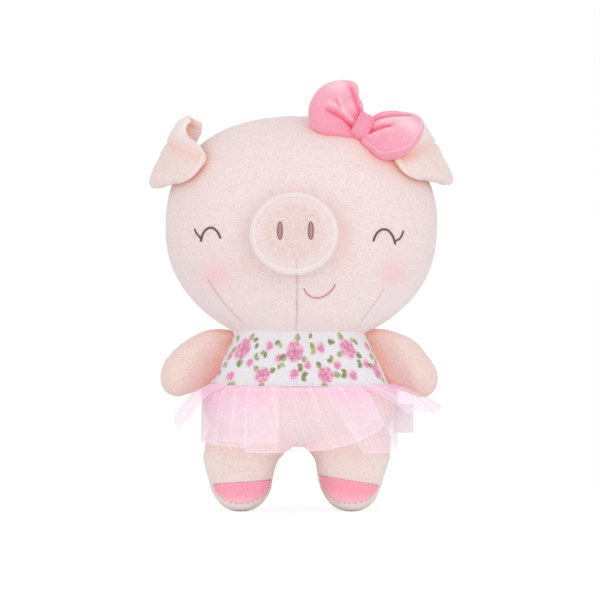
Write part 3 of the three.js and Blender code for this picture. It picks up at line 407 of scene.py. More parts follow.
def velour(name, colour, warm, painted_shade_strength, reach, tips, sheen=0.5, lift=0.05, painted_glow=0.0):
    """Short pile cloth: a speckled nap, soft sheen, a painted warm shade and glow where the cloth is pressed
    together, and painted highlights.
    """
    m = cloth(name)
    colour, warm, tips = srgb(*colour), srgb(*warm), srgb(*tips)
    pile = m.noise(1300, 3.0, rough=0.75)
    nap = m.noise(430, distortion=0.6)
    base = m.mix(m.span(pile, 0.34, 0.62), scaled(colour, 0.84), scaled(colour, 1.1, 0.02))
    base = m.mix(m.span(nap, 0.38, 0.66, 0.0, 0.4), base, tips)
    base = m.mix(m.span(m.noise(30, 1.0), 0.4, 0.75, 0.0, 0.3), base, colour)
    soft = m.times(m.fac("blush"), m.span(nap, 0.2, 0.8, 0.75, 1.1))
    whiter = m.mix(0.5, colour, WHITE)
    # Blush and seams are the cloth's own colour; the last colour, mixed toward white, is a painted highlight
    for value, share, dye in ((soft, 0.36, srgb(254, 170, 192)), (m.fac("seam"), 0.55, srgb(206, 164, 166)),
                              (m.fac("pale"), 0.8, whiter)):
        base = m.mix(m.times(value, share, clamp=True), base, dye)
    # Painted warm shade where other cloth lies close, and wherever a piece asks for it
    closeness = m.times(m.pressed(reach, 0.15, 0.8), m.math("SUBTRACT", 1.0, m.fac("no_painted_shade")))
    glow = m.plus(m.times(closeness, painted_shade_strength), m.fac("warm"))
    base = m.mix(m.math("MINIMUM", glow, 1.0, clamp=True), base, warm)
    # Painted glow: emission brightens the places pressed together, in place of light that has passed through
    # the cloth and its white filling, and some cloths glow faintly all over
    m.put(Base_Color=base, Emission_Color=warm, Emission_Strength=m.plus(m.times(closeness, lift), painted_glow),
          Roughness=0.92, Sheen_Weight=sheen, Sheen_Roughness=0.45, Specular_IOR_Level=0.15,
          Sheen_Tint=scaled(colour, 0.3, 0.7), Normal=m.bump(nap, 0.0006, 0.5, m.bump(pile, 0.0004, 0.7)))
    return m.owner


# Each velour has a colour for its painted warm shade; the bow and the hoofs also glow faintly all over, which
# is painted light
skin = velour("skin_velour", (243, 223, 222), (252, 206, 190), 0.42, 0.008, (252, 240, 241))
skin_snout = velour("skin_velour_snout", (235, 209, 206), (250, 206, 192), 0.3, 0.007, (252, 238, 236))
skin_arm = velour("skin_velour_arm", (246, 217, 209), (248, 188, 172), 0.45, 0.008, (251, 230, 225),
                  lift=0.07)
skin_ear = velour("skin_velour_ear", (245, 222, 218), (250, 198, 176), 0.6, 0.008, (252, 238, 237), lift=0.09)
skin_leg = velour("skin_velour_leg", (247, 225, 220), (250, 194, 170), 0.45, 0.009, (252, 237, 233))
bow_cloth = velour("bow_velour", (255, 170, 191), (242, 118, 150), 0.6, 0.006, (255, 192, 210), 0.3,
                   painted_glow=0.03)
hoof_cloth = velour("hoof_velour", (255, 162, 181), (250, 134, 160), 0.3, 0.004, (255, 182, 199), 0.3,
                    painted_glow=0.07)


def thread(name, *colour):
    """Satin stitched thread: close fine strands with a soft gloss."""
    m = cloth(name)
    strand = m.noise(2600)
    colour = srgb(*colour)
    m.put(Base_Color=m.mix(m.span(strand, 0.35, 0.65), scaled(colour, 0.7), colour), Roughness=0.55,
          Sheen_Weight=0.2, Specular_IOR_Level=0.35, Normal=m.bump(strand, 0.0003, 0.6))
    return m.owner


eye_thread = thread("eye_thread", 118, 84, 94)
nostril_thread = thread("nostril_thread", 206, 164, 166)
nostril_edge = thread("nostril_edge_thread", 160, 116, 122)
mouth_thread = thread("mouth_thread", 235, 166, 172)
seam_thread = thread("seam_thread", 236, 200, 202)
stitch_thread = thread("stitch_thread", 200, 112, 138)


def cotton_material():
    """Ribbed jersey: the print is painted on the cloth's points, the ribs come from the cloth's own width."""
    m = cloth("bodice_jersey")
    rib = m.math("SINE", m.times(m.fac("around"), 2 * math.pi / 1.15))
    loop = m.math("SINE", m.times(m.fac("height"), 2 * math.pi / 0.8))
    knit = m.plus(m.times(rib, 0.7), m.times(loop, 0.2))
    dye = m.add("ShaderNodeAttribute", attribute_name="dye").outputs["Color"]
    # The print is a little darker in the knit's grooves: painted shade
    base = m.mix(m.span(knit, -0.9, 0.4), m.mix(1.0, dye, (0.91, 0.91, 0.93, 1.0), "MULTIPLY"), dye)
    # Painted shade and glow where other cloth lies close: a warm pale pink and a little emission
    closeness = m.pressed(0.012, 0.25, 0.9)
    m.put(Base_Color=m.mix(m.times(closeness, 0.3), base, srgb(248, 224, 224)),
          Emission_Color=srgb(250, 232, 236), Emission_Strength=m.times(closeness, 0.12), Roughness=0.85,
          Sheen_Weight=0.15, Specular_IOR_Level=0.2,
          Normal=m.bump(knit, 0.00022, 0.8, m.bump(m.noise(1800), 0.0003, 0.4)))
    return m.owner


cotton = cotton_material()


def tulle_material(name, near_waist, near_hem, thin, thick):
    """Sheer net: small holes between threads, denser at its cut edge, in its folds and in its gathers, with
    painted highlights along the folds and the cut edge and a faint painted glow.
    """
    m = cloth(name)
    across = m.plus(m.fac("across"), m.times(m.noise(170, 1.0), 2.6))
    down = m.plus(m.fac("down"), m.times(m.noise(200, 1.0), 2.6))
    pitch = 2 * math.pi / 1.3
    net = m.math("MAXIMUM", *(m.math("SINE", m.times(m.math(way, across, down), pitch))
                              for way in ("ADD", "SUBTRACT")))
    holes = m.plus(m.span(net, 0.1, 0.95, 0.0, 0.3), m.span(m.noise(1100, 1.0), 0.36, 0.64, 0.0, 0.7))
    patch = m.span(m.noise(90), 0.3, 0.7, -0.05, 0.05)
    edge, fold_highlight_and_double_net = m.fac("edge"), m.fac("fold_highlight_and_double_net")
    dense = m.plus(m.times(holes, thick - thin), m.plus(patch, thin))
    dense = m.plus(dense, m.times(edge, 0.3))
    dense = m.plus(dense, m.times(m.math("ABSOLUTE", fold_highlight_and_double_net), 0.2))
    tint_and_painted_highlights = m.mix(m.span(m.fac("down"), 2.0, 20.0), srgb(*near_waist), srgb(*near_hem))
    # Painted highlights: whiter on one side of each fold and along the cut edge; the pinker side is the net
    # lying double
    for factor, dye in ((m.span(fold_highlight_and_double_net, 0.0, 1.0, 0.0, 0.9), srgb(255, 244, 252)),
                        (m.span(fold_highlight_and_double_net, 0.0, -1.0, 0.0, 0.8), srgb(252, 202, 224)),
                        (m.times(edge, 0.7), srgb(255, 244, 250))):
        tint_and_painted_highlights = m.mix(factor, tint_and_painted_highlights, dye)
    alpha = m.plus(dense, m.times(m.fac("gathered"), 0.34), clamp=True)
    # A faint painted glow all over
    m.put(Base_Color=tint_and_painted_highlights, Emission_Color=tint_and_painted_highlights, Emission_Strength=0.07, Alpha=alpha, Roughness=0.7,
          Sheen_Weight=0.35, Specular_IOR_Level=0.2, Normal=m.bump(net, 0.0001, 0.08))
    return m.owner


tulle = tulle_material("skirt_tulle", (255, 214, 234), (255, 236, 250), 0.30, 0.40)
tulle_under = tulle_material("skirt_tulle_under", (255, 218, 234), (254, 236, 248), 0.28, 0.37)
tulle_wing = tulle_material("skirt_tulle_wing", (253, 208, 234), (246, 230, 246), 0.36, 0.50)


def ribbon_material():
    m = cloth("label_ribbon")
    weave = m.add("ShaderNodeTexWave", {"Scale": 700, "Vector": m.place()}, wave_type="BANDS",
                  bands_direction="Z").outputs["Fac"]
    m.put(Base_Color=m.mix(m.span(weave, 0.2, 0.8), srgb(250, 242, 245), srgb(255, 252, 253)),
          Roughness=0.5, Sheen_Weight=0.2, Specular_IOR_Level=0.35, Normal=m.bump(weave, 0.0002, 0.6))
    return m.owner


ribbon = ribbon_material()


# Head

def head_level(rise):
    """Half height and roundness of the head at a height over its widest level."""
    above = rise > 0
    return np.where(above, CROWN, CHIN), np.where(above, CROWN_POWER, CHIN_POWER)


def on_head(points):
    """Points at x and z on the front of the head."""
    x, z = np.asarray(points, float).T
    tall, power = head_level(z - HEAD_Z)
    ring = rest_of((z - HEAD_Z) / tall, power)
    inner = np.maximum(0, ring ** HEAD_POWER - (np.abs(x) / HEAD_HALF[0]) ** HEAD_POWER)
    return np.stack([x, MID_Y - HEAD_HALF[1] * inner ** (1 / HEAD_POWER), z], axis=1)


def in_head(p, clear):
    """Below 1 inside the head, or within clear of it."""
    rise = p[..., 2] - HEAD_Z
    tall, power = head_level(rise)
    flat = (np.abs((p[..., 0] - HEAD_SHIFT) / (HEAD_HALF[0] + clear)) ** HEAD_POWER
            + np.abs((p[..., 1] - MID_Y) / (HEAD_HALF[1] + clear)) ** HEAD_POWER) ** (1 / HEAD_POWER)
    return flat ** power + np.abs(rise / (tall + clear)) ** power


SNOUT_X, SNOUT_Z = -3.5, 167.4
SNOUT_HALF = (26.5, 24.9)
SNOUT_FACE = MID_Y - HEAD_HALF[1] - 15.0

# The chin's seam and the two cheek darts, at x and z
HEAD_SEAMS = [[(-1.8, 146), (-1.6, 132), (-2.0, 118), (-2.2, 113.5), (-2.4, 106)],
              [(-54.6, 139.0), (-48.8, 130.0), (-41.8, 121.5), (-34.6, 114), (-31.5, 109)],
              [(49.8, 134), (46.0, 128), (41.0, 121), (36.5, 115), (33.5, 110)]]


def make_head():
    rows, cols = 300, 420
    lat = np.linspace(-math.pi / 2, math.pi / 2, rows + 2)[1:-1][:, None]
    lon = circle(cols)
    tall, power = head_level(lat)
    ring = np.cos(lat) ** (2 / power)
    p = np.stack([
        HEAD_HALF[0] * ring * signed(np.cos(lon), 2 / HEAD_POWER),
        MID_Y + HEAD_HALF[1] * ring * signed(np.sin(lon), 2 / HEAD_POWER),
        np.broadcast_to(HEAD_Z + tall * signed(np.sin(lat), 2 / power), (rows, cols)),
    ], axis=-1)
    # The stuffing leans a little to the left cheek
    p[..., 0] += (HEAD_SHIFT + 0.9 * smooth(p[..., 0], 15, 60) * bell(p[..., 2] - 130, 24)
                  + 1.0 * smooth(-p[..., 0], 5, 30) * bell(p[..., 2] - 112, 8))
    n = out_of(p)
    front = p[..., 1] < MID_Y
    seams = [on_head(curve(line, 24)) for line in HEAD_SEAMS]
    d = np.minimum.reduce([np.where(front, away(p, s), 99) for s in seams])
    # The panels' side seam runs over the crown, behind the ears, and one seam runs down the back
    side = np.abs(p[..., 1] - MID_Y - 1.0 * np.sin(p[..., 2] / 17))
    back = np.where(front, 99, np.abs(p[..., 0]))
    rim = np.minimum(side, back)
    snout = np.hypot((p[..., 0] - SNOUT_X) / SNOUT_HALF[0], (p[..., 2] - SNOUT_Z) / SNOUT_HALF[1])
    near_snout = np.where(front, bell(np.maximum(0, (snout - 1) * 25), 4), 0)
    move = (-0.42 * bell(d, 1.5) - 0.3 * bell(d, 0.5) - 0.5 * bell(rim, 1.6) - 0.3 * bell(rim, 0.5)
            + 0.35 * lumps(p, 46, 3) + 0.10 * lumps(p, 14, 4) - 0.8 * near_snout)
    # Small puckers beside each seam
    pucker = bell(d, 2.6) * np.sin(p[..., 2] * 2.6 + 2 * np.sin(p[..., 0])) * 0.09
    p = p + n * (move + pucker)[..., None]
    flat = p[..., [0, 2]]
    blush = np.zeros(p.shape[:2])
    for x, z in ((-50.4, 142.0), (55.0, 141.8)):
        r = np.hypot(flat[..., 0] - x, (flat[..., 1] - z) * 0.95)
        blush = np.maximum(blush, bell(r, 9.5))
    blush = np.where(front, blush, 0)
    seam = np.maximum(bell(d, 0.5), 0.5 * bell(rim, 0.6))
    # Painted warm shade and glow from cloth to cloth: under the ears' flaps, under the bow and beside the
    # snout
    flap = np.array([(55.0, 214), (57.4, 207.9), (63.9, 200.6), (72.6, 198.6), (80.5, 198)])
    under = np.minimum(away(flat, flap), away(flat * [-1, 1], flap))
    warm = 0.30 * bell(np.maximum(0, under - 0.5), 3.0) + 0.14 * bell(under, 10)
    below_bow = away(flat, np.array([(20.0, 226.5), (30.0, 224.5), (36.0, 216.0), (46.0, 209.0),
                                     (56.0, 207.0)]))
    warm += 0.22 * bell(below_bow, 3.5) + 0.10 * bell(below_bow, 10)
    warm += 0.3 * bell(np.hypot((flat[..., 0] - 26.5) / 6, (flat[..., 1] - 163) / 13), 1)
    warm += 0.12 * bell(np.hypot((flat[..., 0] + 30) / 8, (flat[..., 1] - 150) / 10), 1)
    warm = np.where(front, warm, 0)
    # Painted highlight where the cheeks turn under and on the lower right of the head
    pale = (0.5 * smooth(-n[..., 2], 0.25, 0.8)
            + 0.65 * smooth(p[..., 0], 25, 65) * (1 - smooth(p[..., 2], 110, 160)))
    return build("head_skin", *closed_grid(p), skin, "head", "skin", ("head_cover", "head_stuffing"),
                 {"blush": blush, "seam": seam, "warm": warm, "pale": np.where(front, pale, 0)})


def make_snout():
    cols = 300
    a = circle(cols)
    # Profile from the head to the middle of the face: inset from the outline, and Y before the face
    profile = even([(2.5, 22), (0.9, 14.5), (0.0, 9), (0.2, 4.6), (0.7, 2.3), (1.6, 1.15), (2.6, 1.0),
                    (3.2, 1.5), (3.9, 1.0), (6.5, 0.55), (10, 0.3), (15, 0.08), (20, 0.0), (22.6, 0.0)], 110)
    # The face's seam lies nearer the outline at the top than at the bottom
    widen = 1 + 0.35 * np.maximum(0, -np.sin(a)) ** 2
    inset, depth = profile.T[..., None]
    widen = np.where(inset < 4.5, widen, lerp(widen, 1, smooth(inset, 4.5, 12)))
    share = 1 - inset * widen / 24.0
    p = np.stack([SNOUT_X + SNOUT_HALF[0] * share * np.cos(a),
                  np.broadcast_to(SNOUT_FACE + depth, share.shape),
                  SNOUT_Z + SNOUT_HALF[1] * share * np.sin(a)], axis=-1)
    n = out_of(p)
    front = smooth(-depth, -4, -2)
    stitches = np.sin(a * 62 + 1.1 * np.sin(a * 7))
    band = smooth(depth, 3, 9)
    bottom = (p[..., 2] < SNOUT_Z) & (depth > 1.5)
    line = np.where(bottom, bell(p[..., 0] + 2.0, 0.5), 0)
    groove = bell(inset - 3.2, 0.7) * front
    move = (0.10 * groove * stitches + 0.22 * lumps(p, 22, 8) * smooth(inset, 3, 9)
            + 0.25 * band * np.sin(a * 15 + 2 * np.sin(a * 3)) * smooth(depth, 8, 16)
            - 0.3 * line)
    p = p + n * move[..., None]
    top = np.maximum(0, np.sin(a))
    ticks = bell(inset - 3.3, 0.3) * front * np.maximum(0, stitches) * (0.15 + 0.85 * top ** 2)
    seam = np.maximum(1.2 * ticks, 0.7 * line)
    # Painted highlights: pale lines at the outline and beside the face's seam, and a paler rim and side band
    pale = np.maximum(1.15 * bell(inset - 0.9, 0.7) * smooth(-depth, -7, -3.5),
                      0.9 * bell(inset - 2.6, 0.5) * front)
    pale = pale + 0.55 * smooth(-inset, -10, -4) * front + 0.55 * band
    return build("snout_skin", *closed_grid(p), skin_snout, "head", "skin", ("snout_cover", "snout_stuffing"),
                 {"seam": seam, "pale": np.broadcast_to(pale, seam.shape)})


def satin_line(line, width, rise):
    """A line of satin stitch: one low ridge with a notch between neighbouring strands."""
    length = run_along(line)[-1]
    steps = max(8, int(length / SATIN_PITCH)) * 4
    s = np.linspace(0, length, steps)
    r = width / 2 * (1 + 0.07 * np.cos(s / SATIN_PITCH * 2 * math.pi))
    r *= np.minimum(1, np.minimum(s, length - s) / (width * 0.5) * 0.7 + 0.35)
    return tube(even(line, steps), r, 10, rise / width * 2)


def stitched(face, line, pitch, radius):
    """Short stitches in a row along a line at x and z, each sunk a little at its ends."""
    line = curve(line, 60)
    count = max(1, int(run_along(line)[-1] / pitch))
    line = even(line, count * 6 + 1)
    parts = []
    for k in range(count):
        p = [at + normal * lift for (at, normal), lift in
             zip((face(x, z) for x, z in line[k * 6:k * 6 + 6]), (0.0, 0.12, 0.16, 0.16, 0.12, 0.0))]
        parts.append(tube(p, radius * np.array([0.5, 1, 1, 1, 1, 0.5]), 6))
    return parts


def make_face(head, snout):
    face = front_of(head)
    # Each eye's lid, then its lash
    eyes = {
        "eye_left": ([(-58.5, 162.3), (-57.8, 166.2), (-55.4, 169.6), (-52.1, 170.6), (-48.9, 168.2),
                      (-46.9, 164.1)],
                     [(-62.6, 169.8), (-61.2, 167.0), (-59.0, 164.4), (-58.6, 162.1)]),
        "eye_right": ([(43.2, 162.4), (45.1, 166.8), (48.3, 169.5), (51.8, 169.2), (54.6, 166.1),
                       (56.0, 162.6), (56.5, 160.5)],
                      [(56.7, 162.8), (59.0, 164.0), (60.6, 166.6), (61.3, 168.9)]),
    }
    for name, (arc, lash) in eyes.items():
        parts = [satin_line(laid(face, arc, 0.2, 40), 1.3, 0.6),
                 satin_line(laid(face, lash, 0.25, 20), 1.1, 0.5)]
        build(name + "_stitch", *join_parts(parts), eye_thread, "head", "thread", (name,))
    chin, *darts = [[q for q in line if q[1] > 113] for line in HEAD_SEAMS]
    parts = stitched(face, chin, 1.5, 0.2)
    for line in darts:
        parts += stitched(face, line, 2.4, 0.16)
    parts += stitched(front_of(snout), [(-2.2, 152.0), (-2.0, 146.5)], 1.5, 0.22)
    build("head_seam_stitches", *join_parts(parts), seam_thread, "head", "rose")
    mouth = [(2.2, 134.8), (4.2, 131.5), (7.9, 129.3), (12.5, 129.3), (16.8, 131.8), (19.8, 135.0),
             (20.9, 137.2)]
    build("mouth_stitch", *satin_line(laid(face, mouth, 0.15, 40), 1.0, 0.5), mouth_thread, "head", "rose",
          ("mouth",))
    face = front_of(snout)
    for side, name in ((1, "nostril_right"), (-1, "nostril_left")):
        make_nostril(face, -2.7 + side * 9.1, 169.3, name)


NOSTRIL_TALL, NOSTRIL_WIDE = 5.1, 1.5


def make_nostril(face, cx, cz, name):
    """An upright oval of level strands, with a line of satin stitch round it."""
    t = np.linspace(0, 2 * math.pi, 41)
    rim = laid(face, np.stack([cx + 1.45 * np.cos(t), cz + NOSTRIL_TALL * np.sin(t)], axis=1), 0.1, 73)
    u = np.linspace(-1, 1, 13)
    share = np.linspace(0.01, 0.99, 64)[:, None]
    z = cz + (share * 2 - 1) * NOSTRIL_TALL
    depth = np.array([[face(cx, level)[0][1] + 0.3] for level in z[:, 0]])
    strand = 0.7 + 0.12 * np.cos(share * 2 * NOSTRIL_TALL / SATIN_PITCH * 2 * math.pi)
    p = np.stack([cx + NOSTRIL_WIDE * rest_of(share * 2 - 1, 2.0) * u,
                  depth - strand * np.sqrt(np.maximum(0, 1 - u ** 2)), np.broadcast_to(z, (64, 13))], axis=-1)
    back = p.copy()
    back[..., 1] = p[..., 1].max() + 0.3
    build(name + "_satin", *closed_grid(np.concatenate([p, back[:, ::-1]], axis=1)), nostril_thread, "head",
          "mauve", (name,))
    build(name + "_edge", *satin_line(rim, 0.6, 0.4), nostril_edge, "head", "mauve")


# Ears: a two-ply cloth, folded forward along its outer edge

EAR_LENGTH, EAR_ROWS = 47.0, 110
EAR_TOP = (66.0, HEAD_Z + 65.5)
# Shares of the ear's length, outward and down from its top
ROOT_SHARES = [(-0.1, 0.04), (-0.14, 0.17), (0.3, 0.79)]
FOLD_SHARES = [(-0.03, 0), (0.1, 0.05), (0.19, 0.16), (0.28, 0.33), (0.38, 0.53), (0.46, 0.7), (0.49, 0.82),
               (0.43, 0.88)]
FLAP_SHARES = [(0.02, 0.03), (0.07, 0.16), (0, 0.3), (-0.15, 0.375), (-0.22, 0.49), (-0.18, 0.59),
               (-0.04, 0.74), (0.14, 0.785), (0.33, 0.8)]


def ear_line(shares, y, samples):
    line = samples(np.array(shares) * EAR_LENGTH * [1, -1] + EAR_TOP, EAR_ROWS)
    return np.insert(line, 1, y, axis=1)


def make_ear(side):
    rows, half = EAR_ROWS, 52
    root = ear_line(ROOT_SHARES, MID_Y - 1.0, even)[:, None]
    fold = ear_line(FOLD_SHARES, MID_Y - 7.0, curve)[:, None]
    flap = ear_line(FLAP_SHARES, MID_Y - 7.0, curve)[:, None]
    along = np.linspace(0, 1, rows)[:, None]
    t = np.linspace(0, 1, half)
    back = root + (fold - root) * t[:, None]
    back[..., 1] += 1.6 * np.sin(math.pi * t) * np.sin(math.pi * along)
    over = fold + (flap - fold) * t[1:, None]
    turn = np.sin(np.minimum(1, t[1:] * 3) * math.pi / 2)
    forward = np.sin(math.pi * along ** 1.5) * np.sin(t[1:] * math.pi / 2)
    over[..., 1] = fold[..., 1] - 4.8 * turn - 24.5 * forward
    # A soft valley across the flap, where it bends over, and a free edge that curls up
    flat = over[..., [0, 2]]
    valley = away(flat, np.array([(78.0, 219.5), (72.0, 217.0), (66.0, 213.5), (61.0, 212.0)]))
    crease = away(flat, np.array([(75.5, 214.0), (80.0, 206.0)]))
    over[..., 1] += 1.3 * bell(valley, 3.2) - 0.7 * bell(valley - 6, 3) + 0.5 * bell(crease, 1.8)
    over[..., 1] -= 0.8 * smooth(t[1:], 0.85, 1.0) * np.sin(math.pi * along)
    mid = np.concatenate([back, over], axis=1)
    n = normals(mid)
    run, rise = run_along(mid.swapaxes(0, 1)).T, run_along(mid)
    to_edge = np.minimum(np.minimum(rise, rise[-1:] - rise), run[:, -1:] - run)
    taper = np.sqrt(np.clip(1 - (1 - np.clip(to_edge / 2.2, 0, 1)) ** 2, 0, 1))
    thick = 2.0 * taper * (1 + 0.10 * lumps(mid, 12, 21) + 0.12 * bell(to_edge - 2.5, 1.6)
                           - 0.10 * bell(to_edge - 5, 1.2))
    ply = n * thick[..., None]
    points, faces, _ = two_sheets(mid + ply, mid - ply)
    glow, inner, pale = np.zeros((3, *run.shape))
    # Painted warm shade in the valley and the crease across the flap
    glow[:, half:] = 0.45 * bell(valley, 4.5) + 0.12 * bell(crease, 2.5)
    # Painted warm shade and glow inside the fold, where the two plies face each other
    inner[:, :half] = 0.8 * smooth(t, 0.15, 0.6)
    inner[:, half:] = 0.8 * (1 - smooth(t[1:], 0.5, 0.9))
    # Painted highlights along the flap's free edge and over its top
    pale[:, half:] = 0.5 * bell(run[:, -1:] - run[:, half:] - 1.5, 1.6) + 0.7 * smooth(over[..., 2], 217, 226)
    outer_is_front = n[rows // 2, -half // 2, 1] < 0
    data = {"warm": [glow, inner] if outer_is_front else [inner, glow], "pale": [pale, pale]}
    # The ears aren't quite alike: the left-hand one has a shorter, wider tip
    low = 1 - smooth(points[:, 2], 194, 206)
    if side > 0:
        points[:, 2] += 2.2 * low
        points[:, 0] += 0.9 * smooth(points[:, 0], 76, 84)
    else:
        points[:, 0] -= 0.7 * smooth(points[:, 0], 70, 82)
        points = points * [-1, 1, 1]
    name = "right" if side > 0 else "left"
    return build(f"ear_{name}_cloth", points, faces, skin_ear, f"{name}_ear", "skin", (f"ear_{name}",), data)


# Bow

BOW = (Matrix.Translation((37.0, MID_Y - 31.0, HEAD_Z + 60.0)) @ Matrix.Rotation(math.radians(13), 4, "Z")
       @ Matrix.Rotation(math.radians(-26), 4, "X") @ Matrix.Rotation(math.radians(30), 4, "Y"))

LEFT_LOOP_SHARES = [(-0.08, 1), (0.14, 1.5), (0.3, 1.38), (0.59, 1.16), (0.87, 0.64), (0.93, 0),
                    (0.86, -0.42), (0.72, -0.72), (0.48, -0.82), (0.09, -1.08), (-0.08, -0.95)]
RIGHT_LOOP_SHARES = [(-0.08, 0.95), (0.2, 1.42), (0.49, 1.36), (0.77, 1.28), (0.88, 0.98), (0.9, 0.62),
                     (0.86, 0.02), (0.77, -0.36), (0.59, -0.7), (0.36, -0.92), (0.12, -1.17), (-0.08, -1)]


def to_bow(p, turn=Matrix.Identity(4)):
    m = np.array(BOW @ turn)
    return p @ m[:3, :3].T + m[:3, 3]


def pillow(outline, centre, rings, place, power=2.2):
    """Rings of a stuffed outline from back to front, its poles, and each point's place and height."""
    angle = np.linspace(-math.pi / 2, math.pi / 2, rings + 2)[1:-1, None]
    spread = np.cos(angle) ** (2 / power)
    u, v = (centre[k] + (outline[:, k] - centre[k]) * spread for k in (0, 1))
    r = np.broadcast_to(signed(np.sin(angle), 2 / power), u.shape)
    poles = [place(*np.array([[centre[0]], [centre[1]], [s]]))[0] for s in (-1.0, 1.0)]
    return place(u, v, r), poles, (u, v, r)


def make_loop(side, name, shares, length, height, front, rim_at, creases, light, sink=0.0):
    """One loop of the bow.

    A crease is a line, then the valley's depth, the step down on its left, and its width. light are places
    at u, v, with a reach, where a highlight is painted, and sink is how far the loop hangs. rim_at is where
    the seam runs, from the back, -1, to the front, 1."""
    start = 5.3
    corners = [(side * (start + a * length), c * lerp(18, height, float(smooth(a, 0, 0.4))) / 2)
               for a, c in shares]
    outline = even(corners, 220, closed=True)
    centre = (side * (start + length * 0.55), 0.0)
    marks = {}

    def place(u, v, r):
        out = smooth(np.abs(u) - start, 0, length * 0.5)
        half = lerp(10, 18, out) / 2
        drop, warm, pale = np.zeros_like(u), np.zeros_like(u), np.zeros_like(u)
        for line, valley, step, width in creases:
            d, share = aside(u, v, np.array(line, float))
            fade = (1 - smooth(share, 0.72, 1.0)) * np.ones_like(u)
            drop += fade * (valley * bell(d, width)
                            + step * smooth(d, -0.3 * width, width) * bell(np.maximum(0, d), 9)
                            - 0.3 * valley * bell(d + 2.4 * width, 1.5 * width))
            # Painted shade in each crease's valley and on the fold behind its step, and a painted highlight
            # on the ridge beside it
            warm += fade * (0.62 * bell(d - 0.25 * width, 0.9 * width)
                            + 0.28 * smooth(d, 0, width) * bell(np.maximum(0, d), 7) * (step > 0))
            pale += 0.6 * fade * bell(d + 2.3 * width, 1.3 * width)
        # Painted highlights at the given places
        for u0, v0, reach in light:
            pale += 0.8 * bell(np.hypot(u - u0, v - v0), reach)
        facing = smooth(-r, 0.05, 0.6)
        marks.update(warm=warm * facing, pale=pale * facing)
        gather = 0.35 * np.sin(v * 1.9 + 0.6 * np.sin(u)) * (1 - smooth(np.abs(u) - start, 1, 9))
        y = r * (half - drop * facing) + np.sign(r) * gather * np.abs(r)
        return np.stack([u, y, v], axis=-1)

    p, poles, (u, v, r) = pillow(outline, centre, 110, place)
    place(u, v, r)
    seam = bell(r - rim_at, 0.035)
    move = 0.22 * lumps(p, 13, 31 + side) + 0.10 * lumps(p, 6, 35 + side) - 0.3 * seam
    p = p + out_of(p) * move[..., None]
    turn = Matrix.Rotation(math.radians(-front), 4, "Z")
    points, faces = closed_grid(to_bow(p, turn), [to_bow(q, turn) for q in poles])
    points[:, 2] -= sink * smooth(np.append(np.abs(u), [20, 20]), 8, 20)
    # Painted shade near the knot and low on the loop, and a painted highlight beside the seam
    fade, low = 1 - smooth(np.abs(u) - start, 0, 9), smooth(-v, -2, 14)
    build(name + "_cloth", points, faces, bow_cloth, "head", "bow_pink", (name,),
          {"seam": 0.25 * seam, "warm": np.clip(marks["warm"] + 0.12 * fade + 0.18 * low, 0, 1),
           "pale": np.clip(marks["pale"] + 0.7 * bell(r - rim_at - 0.07, 0.05), 0, 1)})


def make_bow():
    make_loop(-1, "bow_loop_left", LEFT_LOOP_SHARES, 31, 38, 0, -0.14, [
        ([(-4.6, 7.75), (-8.3, 11.3), (-12.9, 16.7), (-18.3, 20.1), (-20.8, 21.9)], 3.4, 2.6, 1.5),
        ([(-4.5, -3.5), (-12.7, -2.6), (-17.5, -2.9), (-27.0, -3.7)], 4.0, 0.8, 1.4),
        ([(-17.0, 1.0), (-22.5, 5.5)], 0.9, 0.0, 1.0)],
        [(-29.0, 15.0, 7.0), (-21.0, 16.5, 5.5), (-11.5, 8.0, 4.0)])
    make_loop(1, "bow_loop_right", RIGHT_LOOP_SHARES, 32, 31, 16, -0.55, [
        ([(6.5, -2.4), (10.3, 0.7), (13.4, 3.2), (19.5, 6.3)], 3.2, 0.0, 1.4),
        ([(5.8, 6.4), (13.0, 11.6), (21.4, 16.0), (27.5, 18.4)], 1.8, 2.6, 1.2)],
        [(22.0, 10.5, 5.0), (29.0, 9.0, 5.5), (12.0, 7.0, 3.0)], 1.5)
    cols, rows = 96, 60
    a, x = circle(cols), np.linspace(-5, 5, rows)[:, None]
    swell = 0.86 + 0.16 * np.sqrt(np.maximum(0, 1 - (x / 5.2) ** 2))
    p = np.stack(np.broadcast_arrays(x, signed(np.cos(a), 0.8) * swell * 7,
                                     signed(np.sin(a), 0.8) * swell * 8.5), axis=-1)
    pleat = 0.16 * np.sin(x * 1.3 + 0.8 * np.sin(a * 2)) + 0.12 * lumps(p, 7, 39)
    p = p + out_of(p) * pleat[..., None]
    # Painted shade all over the knot, deeper towards its ends, and a painted highlight on its top
    build("bow_knot_cloth", *closed_grid(to_bow(p)), bow_cloth, "head", "bow_pink", ("bow_knot",),
          {"warm": np.broadcast_to(0.3 + 0.12 * np.abs(x) / 5, (rows, cols)),
           "pale": 0.75 * smooth(p[..., 2], 4.5, 8.0)})


# Body

def body_ring(z, angle):
    """Points of the body at heights z, rows, round its angles, columns."""
    z = np.asarray(z, float)[:, None]
    seat_width, seat_depth = BODY_WIDTHS[0], BODY_DEPTHS[0]
    c, s = signed(np.cos(angle), 2 / BODY_POWER), np.sin(angle)
    width, depth = np.interp(z, BODY_LEVELS, BODY_WIDTHS), np.interp(z, BODY_LEVELS, BODY_DEPTHS)
    upper = np.stack(np.broadcast_arrays(width * c, MID_Y + depth * signed(s, 2 / BODY_POWER), z), axis=-1)
    # Below the hips the body rounds off like a cushion
    drop = np.clip(HIP_Z - z, 0, seat_depth - 0.01)
    x = seat_width * rest_of(drop / seat_depth, BODY_POWER) * c
    radius = seat_depth * rest_of(x / seat_width, BODY_POWER)
    y = np.sqrt(np.maximum(0, radius ** 2 - drop ** 2)) * np.sign(np.where(np.abs(s) < 1e-9, 0, s))
    lower = np.stack(np.broadcast_arrays(x, MID_Y + y, z), axis=-1)
    return np.where((z < HIP_Z)[..., None], lower, upper)


def waist_dip(angle):
    return 0.6 * np.maximum(0, -np.sin(angle)) ** 2


